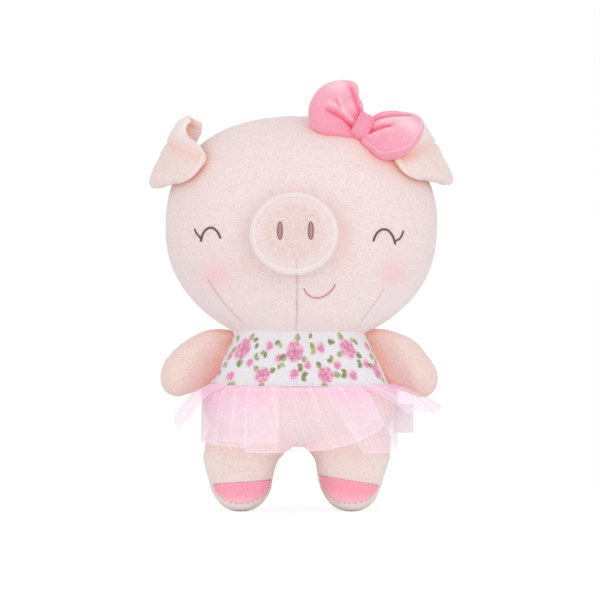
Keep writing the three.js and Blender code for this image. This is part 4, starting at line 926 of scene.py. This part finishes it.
def draw_print(around, height, width):
    """Colours of a small print on pale cotton: a scatter of roses, buds, leaves and stems."""
    rng = np.random.default_rng(41)
    colour = np.broadcast_to(srgb(251, 247, 251)[:3], (*around.shape, 3)).copy()
    petals = [srgb(244, 168, 200), srgb(228, 128, 170), srgb(255, 212, 229), srgb(206, 92, 140)]
    greens = [srgb(172, 178, 112), srgb(204, 208, 156), srgb(132, 140, 78)]
    # The dye's edge is a little ragged on the knit
    ragged = (0.16 * np.sin(around * 3.1 + 2 * np.sin(height * 1.7))
              + 0.16 * np.sin(height * 3.7 + 1.5 * np.sin(around * 2.3)))

    def paint(mask, rgb):
        colour[...] = colour * (1 - mask[..., None]) + np.array(rgb[:3]) * mask[..., None]

    def turned(cx, cy, angle):
        dx, dy = (around - cx + width / 2) % width - width / 2, height - cy
        return dx * math.cos(angle) + dy * math.sin(angle), -dx * math.sin(angle) + dy * math.cos(angle)

    def leaf(cx, cy, angle, length, tone):
        u, v = turned(cx, cy, angle)
        half = length * 0.38 * np.sin(np.clip(u / length, 0, 1) * math.pi) ** 0.8 * (1 + 0.15 * np.sin(u * 6))
        inside = np.where((u > 0) & (u < length), smooth(half - np.abs(v) + 0.5 * ragged, -0.12, 0.2), 0)
        paint(inside * 0.9, greens[tone])
        paint(inside * smooth(v, 0, 0.35) * 0.55, greens[1])
        paint(inside * bell(v - 0.10 * length * np.sin(u * 2), 0.14) * 0.6, greens[2])

    def stem(cx, cy, angle, length):
        u, v = turned(cx, cy, angle)
        v = v - 0.03 * u ** 2
        paint(np.where((u > 0) & (u < length), bell(v, 0.18), 0) * 0.7, greens[2])

    def petal(cx, cy, angle, reach, long, wide):
        """A petal at reach from the middle, paler along one side and with a darker vein."""
        u, v = turned(cx, cy, angle)
        inside = smooth(1 - np.hypot((u - reach) / long, v / wide) + 0.5 * ragged / long, -0.08, 0.16)
        paint(inside, petals[0])
        paint(inside * smooth(v, 0, 0.5 * wide) * 0.65, petals[2])
        paint(inside * bell(v + 0.3 * wide, 0.16 * wide + 0.06) * 0.6, petals[1])

    def rose(cx, cy, size, spin):
        for k in range(3):
            side = spin + 2.1 * k + rng.uniform(-0.35, 0.35)
            leaf(cx + math.cos(side) * size * 0.85, cy + math.sin(side) * size * 0.85, side,
                 size * rng.uniform(0.8, 1.1), (0, 2, 0)[k])
        u, v = turned(cx, cy, spin)
        r = np.hypot(u, v)
        paint(0.7 * smooth(1.08 * size - r + 2 * ragged, -0.6, 0.5), petals[2])
        for k in range(6):
            outer = spin + k * math.pi / 3 + rng.uniform(-0.25, 0.25)
            petal(cx, cy, outer, 0.52 * size, 0.48 * size, 0.48 * size)
        for k in range(4):
            inner = spin + 0.6 + k * math.pi / 2 + rng.uniform(-0.2, 0.2)
            petal(cx, cy, inner, 0.26 * size, 0.34 * size, 0.28 * size)
        t = np.arctan2(v, u)
        for k, tone in enumerate((3, 1, 3, 2, 1)):
            arc = smooth(np.cos(t - 2.2 * k), 0.1, 0.6)
            paint(arc * bell(r - size * (0.14 + 0.13 * k) + ragged * 0.6, 0.06 * size) * 0.6, petals[tone])
        paint(bell(r, size * 0.12) * 0.6, petals[3])

    def bud(cx, cy, size, spin):
        stem(cx, cy, spin + math.pi, size * rng.uniform(1.6, 2.4))
        for side in (-0.7, 0.6):
            leaf(cx - math.cos(spin) * size * 0.9, cy - math.sin(spin) * size * 0.9, spin + math.pi + side,
                 size * 1.1, int(rng.integers(0, 3)))
        u, v = turned(cx, cy, spin)
        paint(0.4 * smooth(1.05 * size - np.hypot(u, v) + 2 * ragged, -0.6, 0.6), petals[2])
        for tilt, reach in ((-0.75, 0.4), (0.75, 0.4), (-0.3, 0.5), (0.35, 0.5)):
            petal(cx - math.cos(spin) * size * 0.3, cy - math.sin(spin) * size * 0.3, spin + tilt,
                  reach * size, 0.62 * size, 0.36 * size)
        for off in (-0.22, 0.18):
            vein = bell(v - off * size - 0.1 * u, 0.13) * smooth(0.6 * size - np.abs(u), 0, 0.5)
            paint(vein * 0.55, petals[3])

    draw = rng.uniform
    columns = int(round(width / 20.0))
    step = width / columns / 2
    for k in range(columns):
        x = (k + 0.28) * width / columns
        low = k % 2 == 0
        rose(x + draw(-1.2, 1.2), draw(82.0, 85.0) if low else draw(96.5, 99.0),
             draw(4.6, 5.2) if low else draw(5.6, 6.3), draw(0, 6.28))
        bud(x + draw(-1.5, 1.5), draw(98.0, 101) if low else draw(80.5, 83.5), draw(3.6, 4.2), draw(0, 6.28))
        bud(x + step + draw(-1.2, 1.2), draw(88.0, 93.0), draw(3.1, 3.7), draw(0, 6.28))
        at, way = x + step + draw(-2, 2), draw(0, 6.28)
        leaf(at, draw(101, 104.5), way, 4.4, int(rng.integers(0, 3)))
        leaf(at, draw(101, 104.5), way + 1.5, 4.0, int(rng.integers(0, 3)))
    return np.concatenate([np.clip(colour, 0, 1), np.ones((*around.shape, 1))], axis=-1)


def make_bodice():
    cols, rows = 900, 100
    turn = np.linspace(math.pi / 2, 2.5 * math.pi, cols, endpoint=False)
    # Even spacing round the waist, from the middle of the back
    ring = body_ring([WAIST_Z], turn)[0]
    run = run_along(np.vstack([ring, ring[:1]])[:, :2])
    width = run[-1]
    around = np.linspace(0, width, cols, endpoint=False)
    angle = np.interp(around, run, np.append(turn, 2.5 * math.pi))
    zs = np.linspace(NECK_Z + 4, 90, 120)
    outside = in_head(body_ring(zs, angle), 0.2) > 1
    # The neck edge reaches a little into the head, so that no gap opens when it nods
    top = zs[np.argmax(outside, axis=0)] + 1.2
    low = WAIST_Z - 0.4 - waist_dip(angle)
    share = np.linspace(0, 1, rows)[:, None]
    z = low + (top - low) * share
    p = np.stack([body_ring(z[:, k], angle[k:k + 1])[:, 0] for k in range(cols)], axis=1)
    n = out_of(p)
    around = np.broadcast_to(around, (rows, cols))
    gather = 0.16 * np.sin(around * 1.35 + np.sin(around * 0.4)) * (bell(share, 0.12) + bell(1 - share, 0.08))
    puff = np.sin(math.pi * share) * (0.5 + 0.25 * lumps(p, 24, 51))
    p = p + n * (puff + gather)[..., None]
    dye = draw_print(around, z, width)
    # The cloth turns in at both edges and lies double inside
    points = np.vstack([p, (p - n * 1.2)[::-1]])
    faces = grid_faces(2 * rows, cols, wrap=True)
    last = (2 * rows - 1) * cols
    faces += [[last + k, last + (k + 1) % cols, (k + 1) % cols, k] for k in range(cols)]
    build("bodice_jersey_cover", points, faces, cotton, "body", "cotton", ("bodice_cover",),
          {"dye": [dye, dye[::-1]], "around": [around, around], "height": [z, z[::-1]]})


def make_seat():
    angle, t = circle(240), np.linspace(0, 1, 90)
    zs = np.where(t < 0.75, HIP_Z - 33.9 * np.cos(t / 0.75 * math.pi / 2), HIP_Z + (t - 0.75) / 0.25 * 3.6)
    p = body_ring(zs, angle)
    p[..., 2] -= waist_dip(angle) * smooth(t, 0.75, 1.0)[:, None]
    seam = np.where(p[..., 1] > MID_Y, bell(p[..., 0], 0.6), 0)
    p = p + out_of(p) * (0.25 * lumps(p, 28, 61) - 0.4 * seam)[..., None]
    build("seat_skin", *closed_grid(p), skin_leg, "body", "skin", ("seat_cover", "body_stuffing"),
          {"seam": seam})


# Legs

def leg_level(z):
    z = np.asarray(z, float)
    low = np.maximum(0, 1 - z / 20)
    widen = np.minimum(1, np.maximum(0, z) / 38) ** 3.6
    widen = widen - 0.12 * bell(z - 38, 4.5)
    full = lerp(37, 54, widen)
    half_width = full / 2 * rest_of(low, 2.2)
    waist = np.where(z < 27, lerp(50, 45, smooth(z, 0, 27)), lerp(45, 54, smooth(z, 27, HIP_Z)))
    half_depth = waist / 2 * rest_of(low, 5)
    centre = np.minimum(33, LEG_OUTSIDE - full / 2)
    return half_width, half_depth, centre


def make_leg(side):
    name = "right" if side > 0 else "left"
    cols = 220
    a = circle(cols)
    # Rings on the flat sole, then up the side
    sole = [0.3, 0.7, 0.94]
    foot = 20 * (1 - np.cos(np.linspace(math.acos(1 - FLOOR_CUT / 20), math.pi / 2, 46)))
    zs = np.concatenate([[FLOOR_CUT] * len(sole), foot, np.linspace(20, 62, 80)[1:]])[:, None]
    inward = np.concatenate([sole, np.ones(len(zs) - len(sole))])[:, None]
    half_width, half_depth, centre = leg_level(zs)
    # The top is tucked in under the body's seat
    tuck = smooth(zs, 42, 58)
    half_width, half_depth = half_width * inward - 6 * tuck, half_depth * inward - 9 * tuck
    p = np.stack(np.broadcast_arrays(centre + half_width * signed(np.cos(a), 2 / 2.6),
                                     MID_Y + half_depth * signed(np.sin(a), 2 / 2.6), zs), axis=-1)
    p[..., 0] = np.maximum(p[..., 0], 1.6)
    n, z = out_of(p), p[..., 2]
    soft = smooth(z, 3, 12)
    rim = np.abs(p[..., 1] - MID_Y)
    sides = bell(rim, 1.1) * soft
    crease = bell(z - (27 + 2.5 * np.sin(a * 2 + 0.7)), 2.2)
    move = (soft * (0.35 * lumps(p, 22, 71 + side) + 0.12 * lumps(p, 8, 75 + side)) - 0.4 * sides
            - 0.25 * crease * soft)
    p = p + n * move[..., None]
    p[..., 2] = np.maximum(p[..., 2], FLOOR_CUT)
    p[..., 0] += 1.0 * bell(z - 27, 7) * smooth(p[..., 0], 40, 50)
    # Painted warm shade and glow between the thighs and just under the skirt's hem
    warm = (0.22 * bell(p[..., 0] - 8, 9) * smooth(z, 18, 40) + 0.16 * bell(z - 37, 5)) * (p[..., 1] < MID_Y)
    # No painted crease shade low on the foot; painted highlights there and on the thigh's outer side
    low = 1 - smooth(z, 5, 14)
    data = {"seam": 0.6 * bell(rim, 0.5) * soft, "warm": warm, "no_painted_shade": low,
            "pale": 0.6 * low + 0.35 * smooth(p[..., 0], 44, 52)}
    points, faces = closed_grid(p)
    points = points * [side, 1, 1]
    points[:, 0] += LEG_SHIFT + FOOT_SHIFT * (1 - smooth(points[:, 2], 24, 46))
    leg = build(f"leg_{name}_skin", points, faces, skin_leg, f"{name}_leg", "skin",
                (f"leg_{name}_cover", f"leg_{name}_stuffing"), data)
    make_hoof(side, name, front_of(leg))


# Heights of the hoofs' top edges: middle, and how much the outer side is lower
HOOF_TOPS = {"left": (18.4, 1.3), "right": (19.3, 2.8)}


def make_hoof(side, name, face):
    cols, rows = 110, 70
    t, u = np.linspace(0, 1, rows)[:, None], np.linspace(-1, 1, cols)
    bottom = 5.6 + 9.8 * (1 - np.sqrt(np.maximum(0, 1 - 0.97 * np.abs(u) ** 2.6)))
    middle, lower = HOOF_TOPS[name]
    full = middle - lower * u - 0.5 * np.abs(u) ** 3
    z = bottom + (full - bottom) * t
    x = u * (leg_level(z)[0] - 1.0 - 1.4 * np.maximum(0, u))
    edge = np.minimum((1 - np.abs(u)) * 17, np.minimum(t, 1 - t) * (full - bottom))
    height = 0.7 * np.sqrt(np.clip(1 - (1 - np.clip(edge / 1.1, 0, 1)) ** 2, 0, 1)) - 0.1
    x = side * (33 + x) + LEG_SHIFT + FOOT_SHIFT
    at, normal = np.array([[face(*place) for place in zip(*row)] for row in zip(x, z)]).transpose(2, 0, 1, 3)
    p = at + normal * height[..., None]
    p += 0.10 * lumps(p, 5, 91 + side)[..., None] * [0, 1, 0] * smooth(edge, 0.5, 3)[..., None]
    points, faces, loop = two_sheets(p, at - normal * 0.6)
    # Painted highlights along the patch's lower part and its edge, and less painted crease shade on it
    pale = 0.7 * bell(t, 0.3) + 0.4 * bell(edge - 0.5, 0.5)
    build(f"hoof_{name}_patch", points, faces, hoof_cloth, f"{name}_leg", "bow_pink", (f"hoof_{name}",),
          {"pale": [pale, pale], "no_painted_shade": np.full(len(points), 0.6)})
    # Short stitches over the patch's edge, close along the top and wide apart below
    rim = np.array([p[i, j] for i, j in loop])
    on_top = np.array([i == rows - 1 for i, j in loop])
    run = run_along(rim)
    middle = p[rows // 2, cols // 2]
    parts, s = [], 1.0
    while s < run[-1]:
        k = min(int(np.searchsorted(run, s)), len(rim) - 1)
        way = (middle - rim[k]) * [1, 0, 1]
        way /= max(np.linalg.norm(way), 1e-6)
        line = []
        for share in np.linspace(-0.35, 0.75, 6):
            at, normal = face(*(rim[k] + way * share)[[0, 2]])
            line.append(at + normal * (0.25 + 0.45 * float(smooth(share, -0.1, 0.5))))
        parts.append(tube(line, 0.17 * np.array([0.6, 1, 1, 1, 1, 0.6]), 6))
        s += 1.9 if on_top[k] else 3.4
    build(f"hoof_{name}_stitches", *join_parts(parts), stitch_thread, f"{name}_leg", "bow_pink")


# Arms

SEAM_TOP = np.array([BODY_WIDTHS[3], NECK_Z])
SEAM_END = np.array([BODY_WIDTHS[1], WAIST_Z])
ARM_SEAM = np.linalg.norm(SEAM_TOP - SEAM_END)
ARM_UP = (SEAM_TOP - SEAM_END) / ARM_SEAM
ARM_OUT = np.array([ARM_UP[1], -ARM_UP[0]])
ARM_POINT = SEAM_END + ARM_OUT * 4.0
# Shares of the arm's length and of its seam, outward and up from the seam's lower end
ARM_SHARES = [(0.22, 0.88), (0.52, 0.70), (0.81, 0.42), (0.95, 0.10), (0.96, -0.19), (0.84, -0.40),
              (0.64, -0.495), (0.42, -0.48), (0.18, -0.32)]


def arm_frame(u, v):
    """How far a point at x and z is out from the arm's seam, and how far up along it."""
    u, v = u - ARM_POINT[0], v - ARM_POINT[1]
    return u * ARM_OUT[0] + v * ARM_OUT[1], u * ARM_UP[0] + v * ARM_UP[1]


def make_arm(side):
    name = "right" if side > 0 else "left"
    # The left-hand arm is stuffed a little shorter
    stretch = 26.4 if side > 0 else 27.7
    corners = [(-3.3, -0.2), (-3.3, ARM_SEAM - 1.8)] + [(o * stretch, u * ARM_SEAM) for o, u in ARM_SHARES]
    outline = even([ARM_POINT + ARM_OUT * out + ARM_UP * up for out, up in corners], 240, closed=True)

    def place(u, v, r):
        reach, up = arm_frame(u, v)
        half = lerp(0.4, 1, smooth(reach, -3.5, 17)) * 14.5
        gather = 0.4 * np.sin(up * 1.1 + 0.8 * np.sin(up * 0.31)) * (1 - smooth(reach, 1, 11)) * np.abs(r)
        return np.stack([u, MID_Y + r * half + np.sign(r) * gather, v], axis=-1)

    p, poles, (u, v, r) = pillow(outline, outline.mean(0), 90, place)
    reach, up = arm_frame(u, v)
    move = 0.4 * lumps(p, 20, 81 + side) + 0.12 * lumps(p, 7, 85 + side) - 0.3 * bell(r, 0.06)
    p = p + out_of(p) * move[..., None]
    # Painted warm shade near the seam, strongest halfway up it, and low on the arm
    warm = (0.22 * (1 - smooth(reach, -2, 16)) + 0.28 * bell(reach + 1, 3.0) * bell(up - 14, 14)
            + 0.12 * bell(v - ARM_POINT[1] + 12, 9))
    points, faces = closed_grid(p, poles)
    build(f"arm_{name}_skin", points * [side, 1, 1], faces, skin_arm, f"{name}_arm", "skin",
          (f"arm_{name}_cover", f"arm_{name}_stuffing"), {"seam": 0.4 * bell(r, 0.03), "warm": warm})


# Skirt

def skirt_point(angle, drop, offset, out):
    """A point that lies out from the body's side below the waist."""
    dip = waist_dip(angle)
    hips = np.minimum(1, (drop + dip) / 5)
    clear = 0.5 + offset
    width = lerp(BODY_WIDTHS[1], BODY_WIDTHS[0], hips) + clear
    depth = lerp(BODY_DEPTHS[1], BODY_DEPTHS[0], hips) + clear
    c, s = np.cos(angle), np.sin(angle)
    return np.stack([width * signed(c, 2 / BODY_POWER) + c * out,
                     MID_Y + depth * signed(s, 2 / BODY_POWER) + s * out,
                     WAIST_Z - 0.3 - dip - drop], axis=-1)


# Distance round the waist from the middle of the front, and the body's angle there
TURNS = np.linspace(-1.5 * math.pi, 2.5 * math.pi, 8001)
WAIST_RING = body_ring([HIP_Z + 2], TURNS)[0][:, :2]
ROUND_RUN = run_along(WAIST_RING)
ROUND_RUN -= np.interp(-math.pi / 2, TURNS, ROUND_RUN)


def make_panel(name, start, end, lengths, offset, material, seed, lean=(0, 0), pleat=(11.0, 1.9, 1.3),
               flare=1.0, wing=None, folds=(), shift=0.0, replaces=()):
    """One gathered panel of tulle between two distances round the waist from the middle of the front.

    lengths and lean are at even steps along the hem. lean moves the hem sideways, and shift moves the whole
    of it to one side. pleat is the pitch, the overlap and the depth of the small folds, and folds are the
    distances of the large ones. wing is how far the two ends of the hem stand out, as vectors."""
    rng = np.random.default_rng(seed)
    cols, rows = max(70, int(abs(end - start) * 2.6)), 64
    run, along = np.linspace(start, end, cols), np.linspace(0, 1, cols)
    share = np.linspace(0, 1, rows)[:, None]
    at_steps = lambda values: np.interp(along, np.linspace(0, 1, len(values)), values)
    hem = at_steps(lengths)
    wobble = sum(rng.uniform(0.3, 1.0) * np.sin(run * rng.uniform(0.04, 0.16) + rng.uniform(0, 6.28))
                 for _ in range(4))
    pitch, overlap, depth = pleat
    phase = (run / pitch) * 2 * math.pi + 1.2 * wobble
    grow = share ** 0.8
    fine = 0.35 * np.sin(run * 2.3 + 2 * wobble) * bell(share, 0.22)
    s = run + at_steps(lean) * share ** 1.1 + overlap * grow * np.sin(phase)
    angle = np.interp(s, ROUND_RUN, TURNS)
    back = np.maximum(0, np.sin(angle))
    out = (flare * share + 9 * np.maximum(0, -np.sin(angle)) * share + 11 * back * share ** 0.6
           + depth * grow * (1 + np.cos(phase)) + 0.4 + fine
           + 0.5 * grow * np.sin(run * 0.9 + 3 * share + wobble))
    out = out * lerp(0.2, 1, np.abs(np.sin(angle)))
    for fold in folds:
        out = out + 1.8 * grow * bell(run - fold, 1.6) - 0.5 * grow * bell(run - fold - 3.5, 1.8)
    p = skirt_point(angle, hem * share, offset, out)
    p[..., 0] += shift * share
    if wing:
        first, last = np.array(wing, float)
        p = p + share[..., None] ** 0.85 * (first + (last - first) * along[:, None])
    span = np.abs(run - start)
    d_side = np.minimum(span, abs(end - start) - span)
    d_hem = (1 - share) * hem
    # The cut edge is denser, and whiter as a painted highlight
    edge = np.maximum(bell(d_hem, 0.5), bell(d_side, 0.5))
    down = share * hem
    gathered = bell(down, 3.0) * (0.7 + 0.3 * np.sin(run * 2.3 + 2 * wobble)) + 0.45 * bell(down, 11)
    # Painted highlights, and pinker lines where the net lies double, along its folds and in loose streaks
    fold_highlight_and_double_net = 0.3 * np.sin(phase - 0.8) * grow
    for fold in folds:
        line = 0.9 * bell(run - fold, 0.5) - 0.5 * bell(run - fold + 1.6, 1.3)
        fold_highlight_and_double_net = fold_highlight_and_double_net + line * (0.35 + 0.65 * share)
    for _ in range(int(abs(end - start) / 4)):
        place, width = rng.uniform(*sorted((start, end))), rng.uniform(0.35, 1.3)
        tone, reach = rng.uniform(-0.45, 0.55), rng.uniform(0.3, 1.1)
        across = run + 1.5 * np.sin(3 * share + place) * share - place
        fold_highlight_and_double_net = fold_highlight_and_double_net + tone * bell(across, width) * (1 - smooth(share, reach - 0.3, reach + 0.2))
    data = {"edge": edge, "across": run + 0 * share, "down": down,
            "gathered": np.clip(gathered, 0, 1), "fold_highlight_and_double_net": np.clip(fold_highlight_and_double_net, -1, 1)}
    obj = build(name, p, grid_faces(rows, cols), material, None if wing else "body", "tulle", replaces, data)
    if wing:
        # The arm pushes the standing end of the hem along when it swings
        way = 1 if start > 0 else -1
        arm = "right_arm" if start > 0 else "left_arm"
        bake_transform(obj, "body", arm, (way * 0.054, 0.0, 0.074), (way * 0.074, -0.004, 0.064))
    obj.visible_shadow = False


def make_skirt():
    half = np.interp(math.pi / 2, TURNS, ROUND_RUN)
    make_panel("skirt_under_tulle", 17, 2 * half - 12,
               [40, 40, 39, 37, 35, 33, 34, 36, 36, 35.5, 34, 33.0, 33.5], 0.0, tulle_under, 7,
               lean=(17, 3, 0, 0, 0, 0), pleat=(12.0, 0.8, 0.3), flare=-0.5, folds=(24, 33), shift=-0.5,
               replaces=("skirt_under",))
    make_panel("skirt_over_left_tulle", -29, -92, [36.5, 35.3, 35, 34, 33], 0.5, tulle, 11,
               pleat=(10.5, 1.2, 0.3), flare=-0.5, folds=(-37, -45), replaces=("skirt_over",))
    make_panel("skirt_over_front_tulle", -30, 36, [39.0, 39.2, 38.8, 37.8, 35.4, 31.8, 28.0, 23.0], 1.8,
               tulle, 12, lean=(3.5, 5, 10, 13, 13, 11, 7.7), pleat=(12.5, 0.8, 0.4), flare=1.2,
               folds=(-5.4, 10.0, 23.0))
    make_panel("skirt_over_left_wing_tulle", -47, -66, [19, 23, 27, 25, 19], 1.4, tulle_wing, 15,
               lean=(-2, -2), pleat=(9.0, 0.5, 0.4), wing=((-11, -7, 0), (-15, -4, 0)))
    make_panel("skirt_over_right_wing_tulle", 37, 74, [16, 15.5, 17, 18.5, 17, 15], 1.8, tulle_wing, 16,
               lean=(11, 4), pleat=(9.0, 0.8, 0.5), wing=((10, -7, 0), (25, -5, 1)))
    make_panel("skirt_over_back_tulle", 74, 2 * half - 92, [22, 26, 31, 33, 33, 33, 32, 30, 29], 0.5,
               tulle, 14, pleat=(11.0, 1.6, 0.5), flare=-0.5)


def make_tail():
    share = np.linspace(0, 1, 90)
    angle = math.pi / 2 + share * 1.25 * 2 * math.pi
    radius = lerp(5.4, 3.0, share)
    line = np.stack([np.cos(angle) * radius, MID_Y + BODY_DEPTHS[0] + 4.5 * share,
                     HIP_Z - 12 + np.sin(angle) * radius], axis=1)
    thick = lerp(1, 0.6, share) * 2.2 * (1 + 0.03 * np.sin(share * 60))
    build("tail_cloth", *tube(line, thick, 20), skin_leg, "body", "skin", ("tail",))


def make_label():
    low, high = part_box("side_label")
    x0, x1 = low.x / MM - 2, high.x / MM - 2
    y = (low.y + high.y) / 2 / MM
    z0, z1 = low.z / MM + FLOOR_CUT, high.z / MM + FLOOR_CUT
    gap, ply, bend = 0.45, 0.35, x1 - 0.8
    # Seen from above: out along the front ply, round the fold, and back
    path = ([(x0, -gap)]
            + [(lerp(x0, bend, t), -gap - 0.2 * math.sin(t * 3)) for t in np.linspace(0.1, 1, 12)]
            + [(bend + 0.8 * math.cos(a), gap * math.sin(a)) for a in np.linspace(-1.3, 1.3, 9)]
            + [(lerp(bend, x0, t), gap + 0.2 * math.sin(t * 3)) for t in np.linspace(0, 1, 12)])
    cols, rows = 80, 40
    line = even(path, cols)
    tangent = np.gradient(line, axis=0)
    side = np.stack([-tangent[:, 1], tangent[:, 0]], axis=1) / np.linalg.norm(tangent, axis=1, keepdims=True)
    ring = np.concatenate([line + side * ply / 2, (line - side * ply / 2)[::-1]])
    zs = np.linspace(z0, z1, rows)[:, None]
    points = np.stack(np.broadcast_arrays(ring[:, 0], y + ring[:, 1] + 0.25 * np.sin(zs / 3), zs), axis=-1)
    faces = grid_faces(rows, 2 * cols, wrap=True)
    for first in (0, (rows - 1) * 2 * cols):
        last = first + 2 * cols - 1
        faces += [[first + k, first + k + 1, last - 1 - k, last - k] for k in range(cols - 1)]
    build("side_label_ribbon", points, faces, ribbon, "body", "ribbon", ("side_label",))


make_face(make_head(), make_snout())
for way in (1, -1):
    make_ear(way)
    make_leg(way)
    make_arm(way)
make_bow()
make_bodice()
make_seat()
make_skirt()
make_tail()
make_label()


# Floor, light and camera

def stage_material():
    """A pale floor that looks almost white to the camera and still takes the soft shadow."""
    m = cloth("pale_floor")
    m.put(Base_Color=(0.94, 0.94, 0.94, 1.0), Roughness=0.9)
    rays = m.add("ShaderNodeLightPath").outputs
    seen = m.math("MAXIMUM", rays["Is Camera Ray"],
                  m.math("MAXIMUM", rays["Is Glossy Ray"], rays["Is Transmission Ray"]))
    glow = m.add("ShaderNodeEmission", {"Color": WHITE, "Strength": 1.06})
    mix = m.add("ShaderNodeMixShader", {0: m.times(seen, 0.8), 1: m.shader.outputs[0], 2: glow.outputs[0]})
    m.fill(m.tree.nodes["Material Output"].inputs["Surface"], mix.outputs[0])
    return m.owner


floor = bpy.data.meshes.new("floor")
floor.from_pydata([(-6, -6, 0), (6, -6, 0), (6, 6, 0), (-6, 6, 0)], [], [[0, 1, 2, 3]])
floor.materials.append(stage_material())
placed("floor", floor)

world = bpy.context.scene.world = bpy.data.worlds.new("studio")
studio = Nodes(world, "Background")
rays = studio.add("ShaderNodeLightPath").outputs
seen = studio.math("MAXIMUM", rays["Is Camera Ray"], rays["Is Transmission Ray"])
studio.put(Color=WHITE, Strength=studio.span(seen, 0.0, 1.0, 0.86, 1.0))


def aimed(obj, target):
    """Turns a light or the camera to a point."""
    obj.rotation_euler = (Vector(target) - obj.location).to_track_quat("-Z", "Y").to_euler()


for name, place, target, power in (("key", (0.6, -1.5, 0.9), (0, 0, 0.13), 2.2),
                                   ("fill_left", (-0.75, -1.5, 0.28), (0, 0, 0.08), 2.0),
                                   ("fill_right", (0.75, -1.5, 0.28), (0, 0, 0.08), 1.6)):
    light = bpy.data.lights.new(name, "AREA")
    light.shape, light.size, light.energy = "SQUARE", 0.8, power
    lamp = placed(name, light)
    lamp.location = place
    aimed(lamp, target)

# The camera stands far off and sees 0.36 m at the pig
DISTANCE, SENSOR, SEEN = 4.0, 36.0, 0.36
ELEVATION = math.radians(1.5)
target = Vector((0, MID_Y * MM, 0.126))
camera = bpy.data.cameras.new("camera")
camera.sensor_width, camera.lens, camera.clip_end = SENSOR, SENSOR * DISTANCE / SEEN, 50
viewer = bpy.context.scene.camera = placed("camera", camera)
viewer.location = target + Vector((0, -DISTANCE * math.cos(ELEVATION), DISTANCE * math.sin(ELEVATION)))
aimed(viewer, target)
bpy.context.scene.view_settings.view_transform = "Standard"
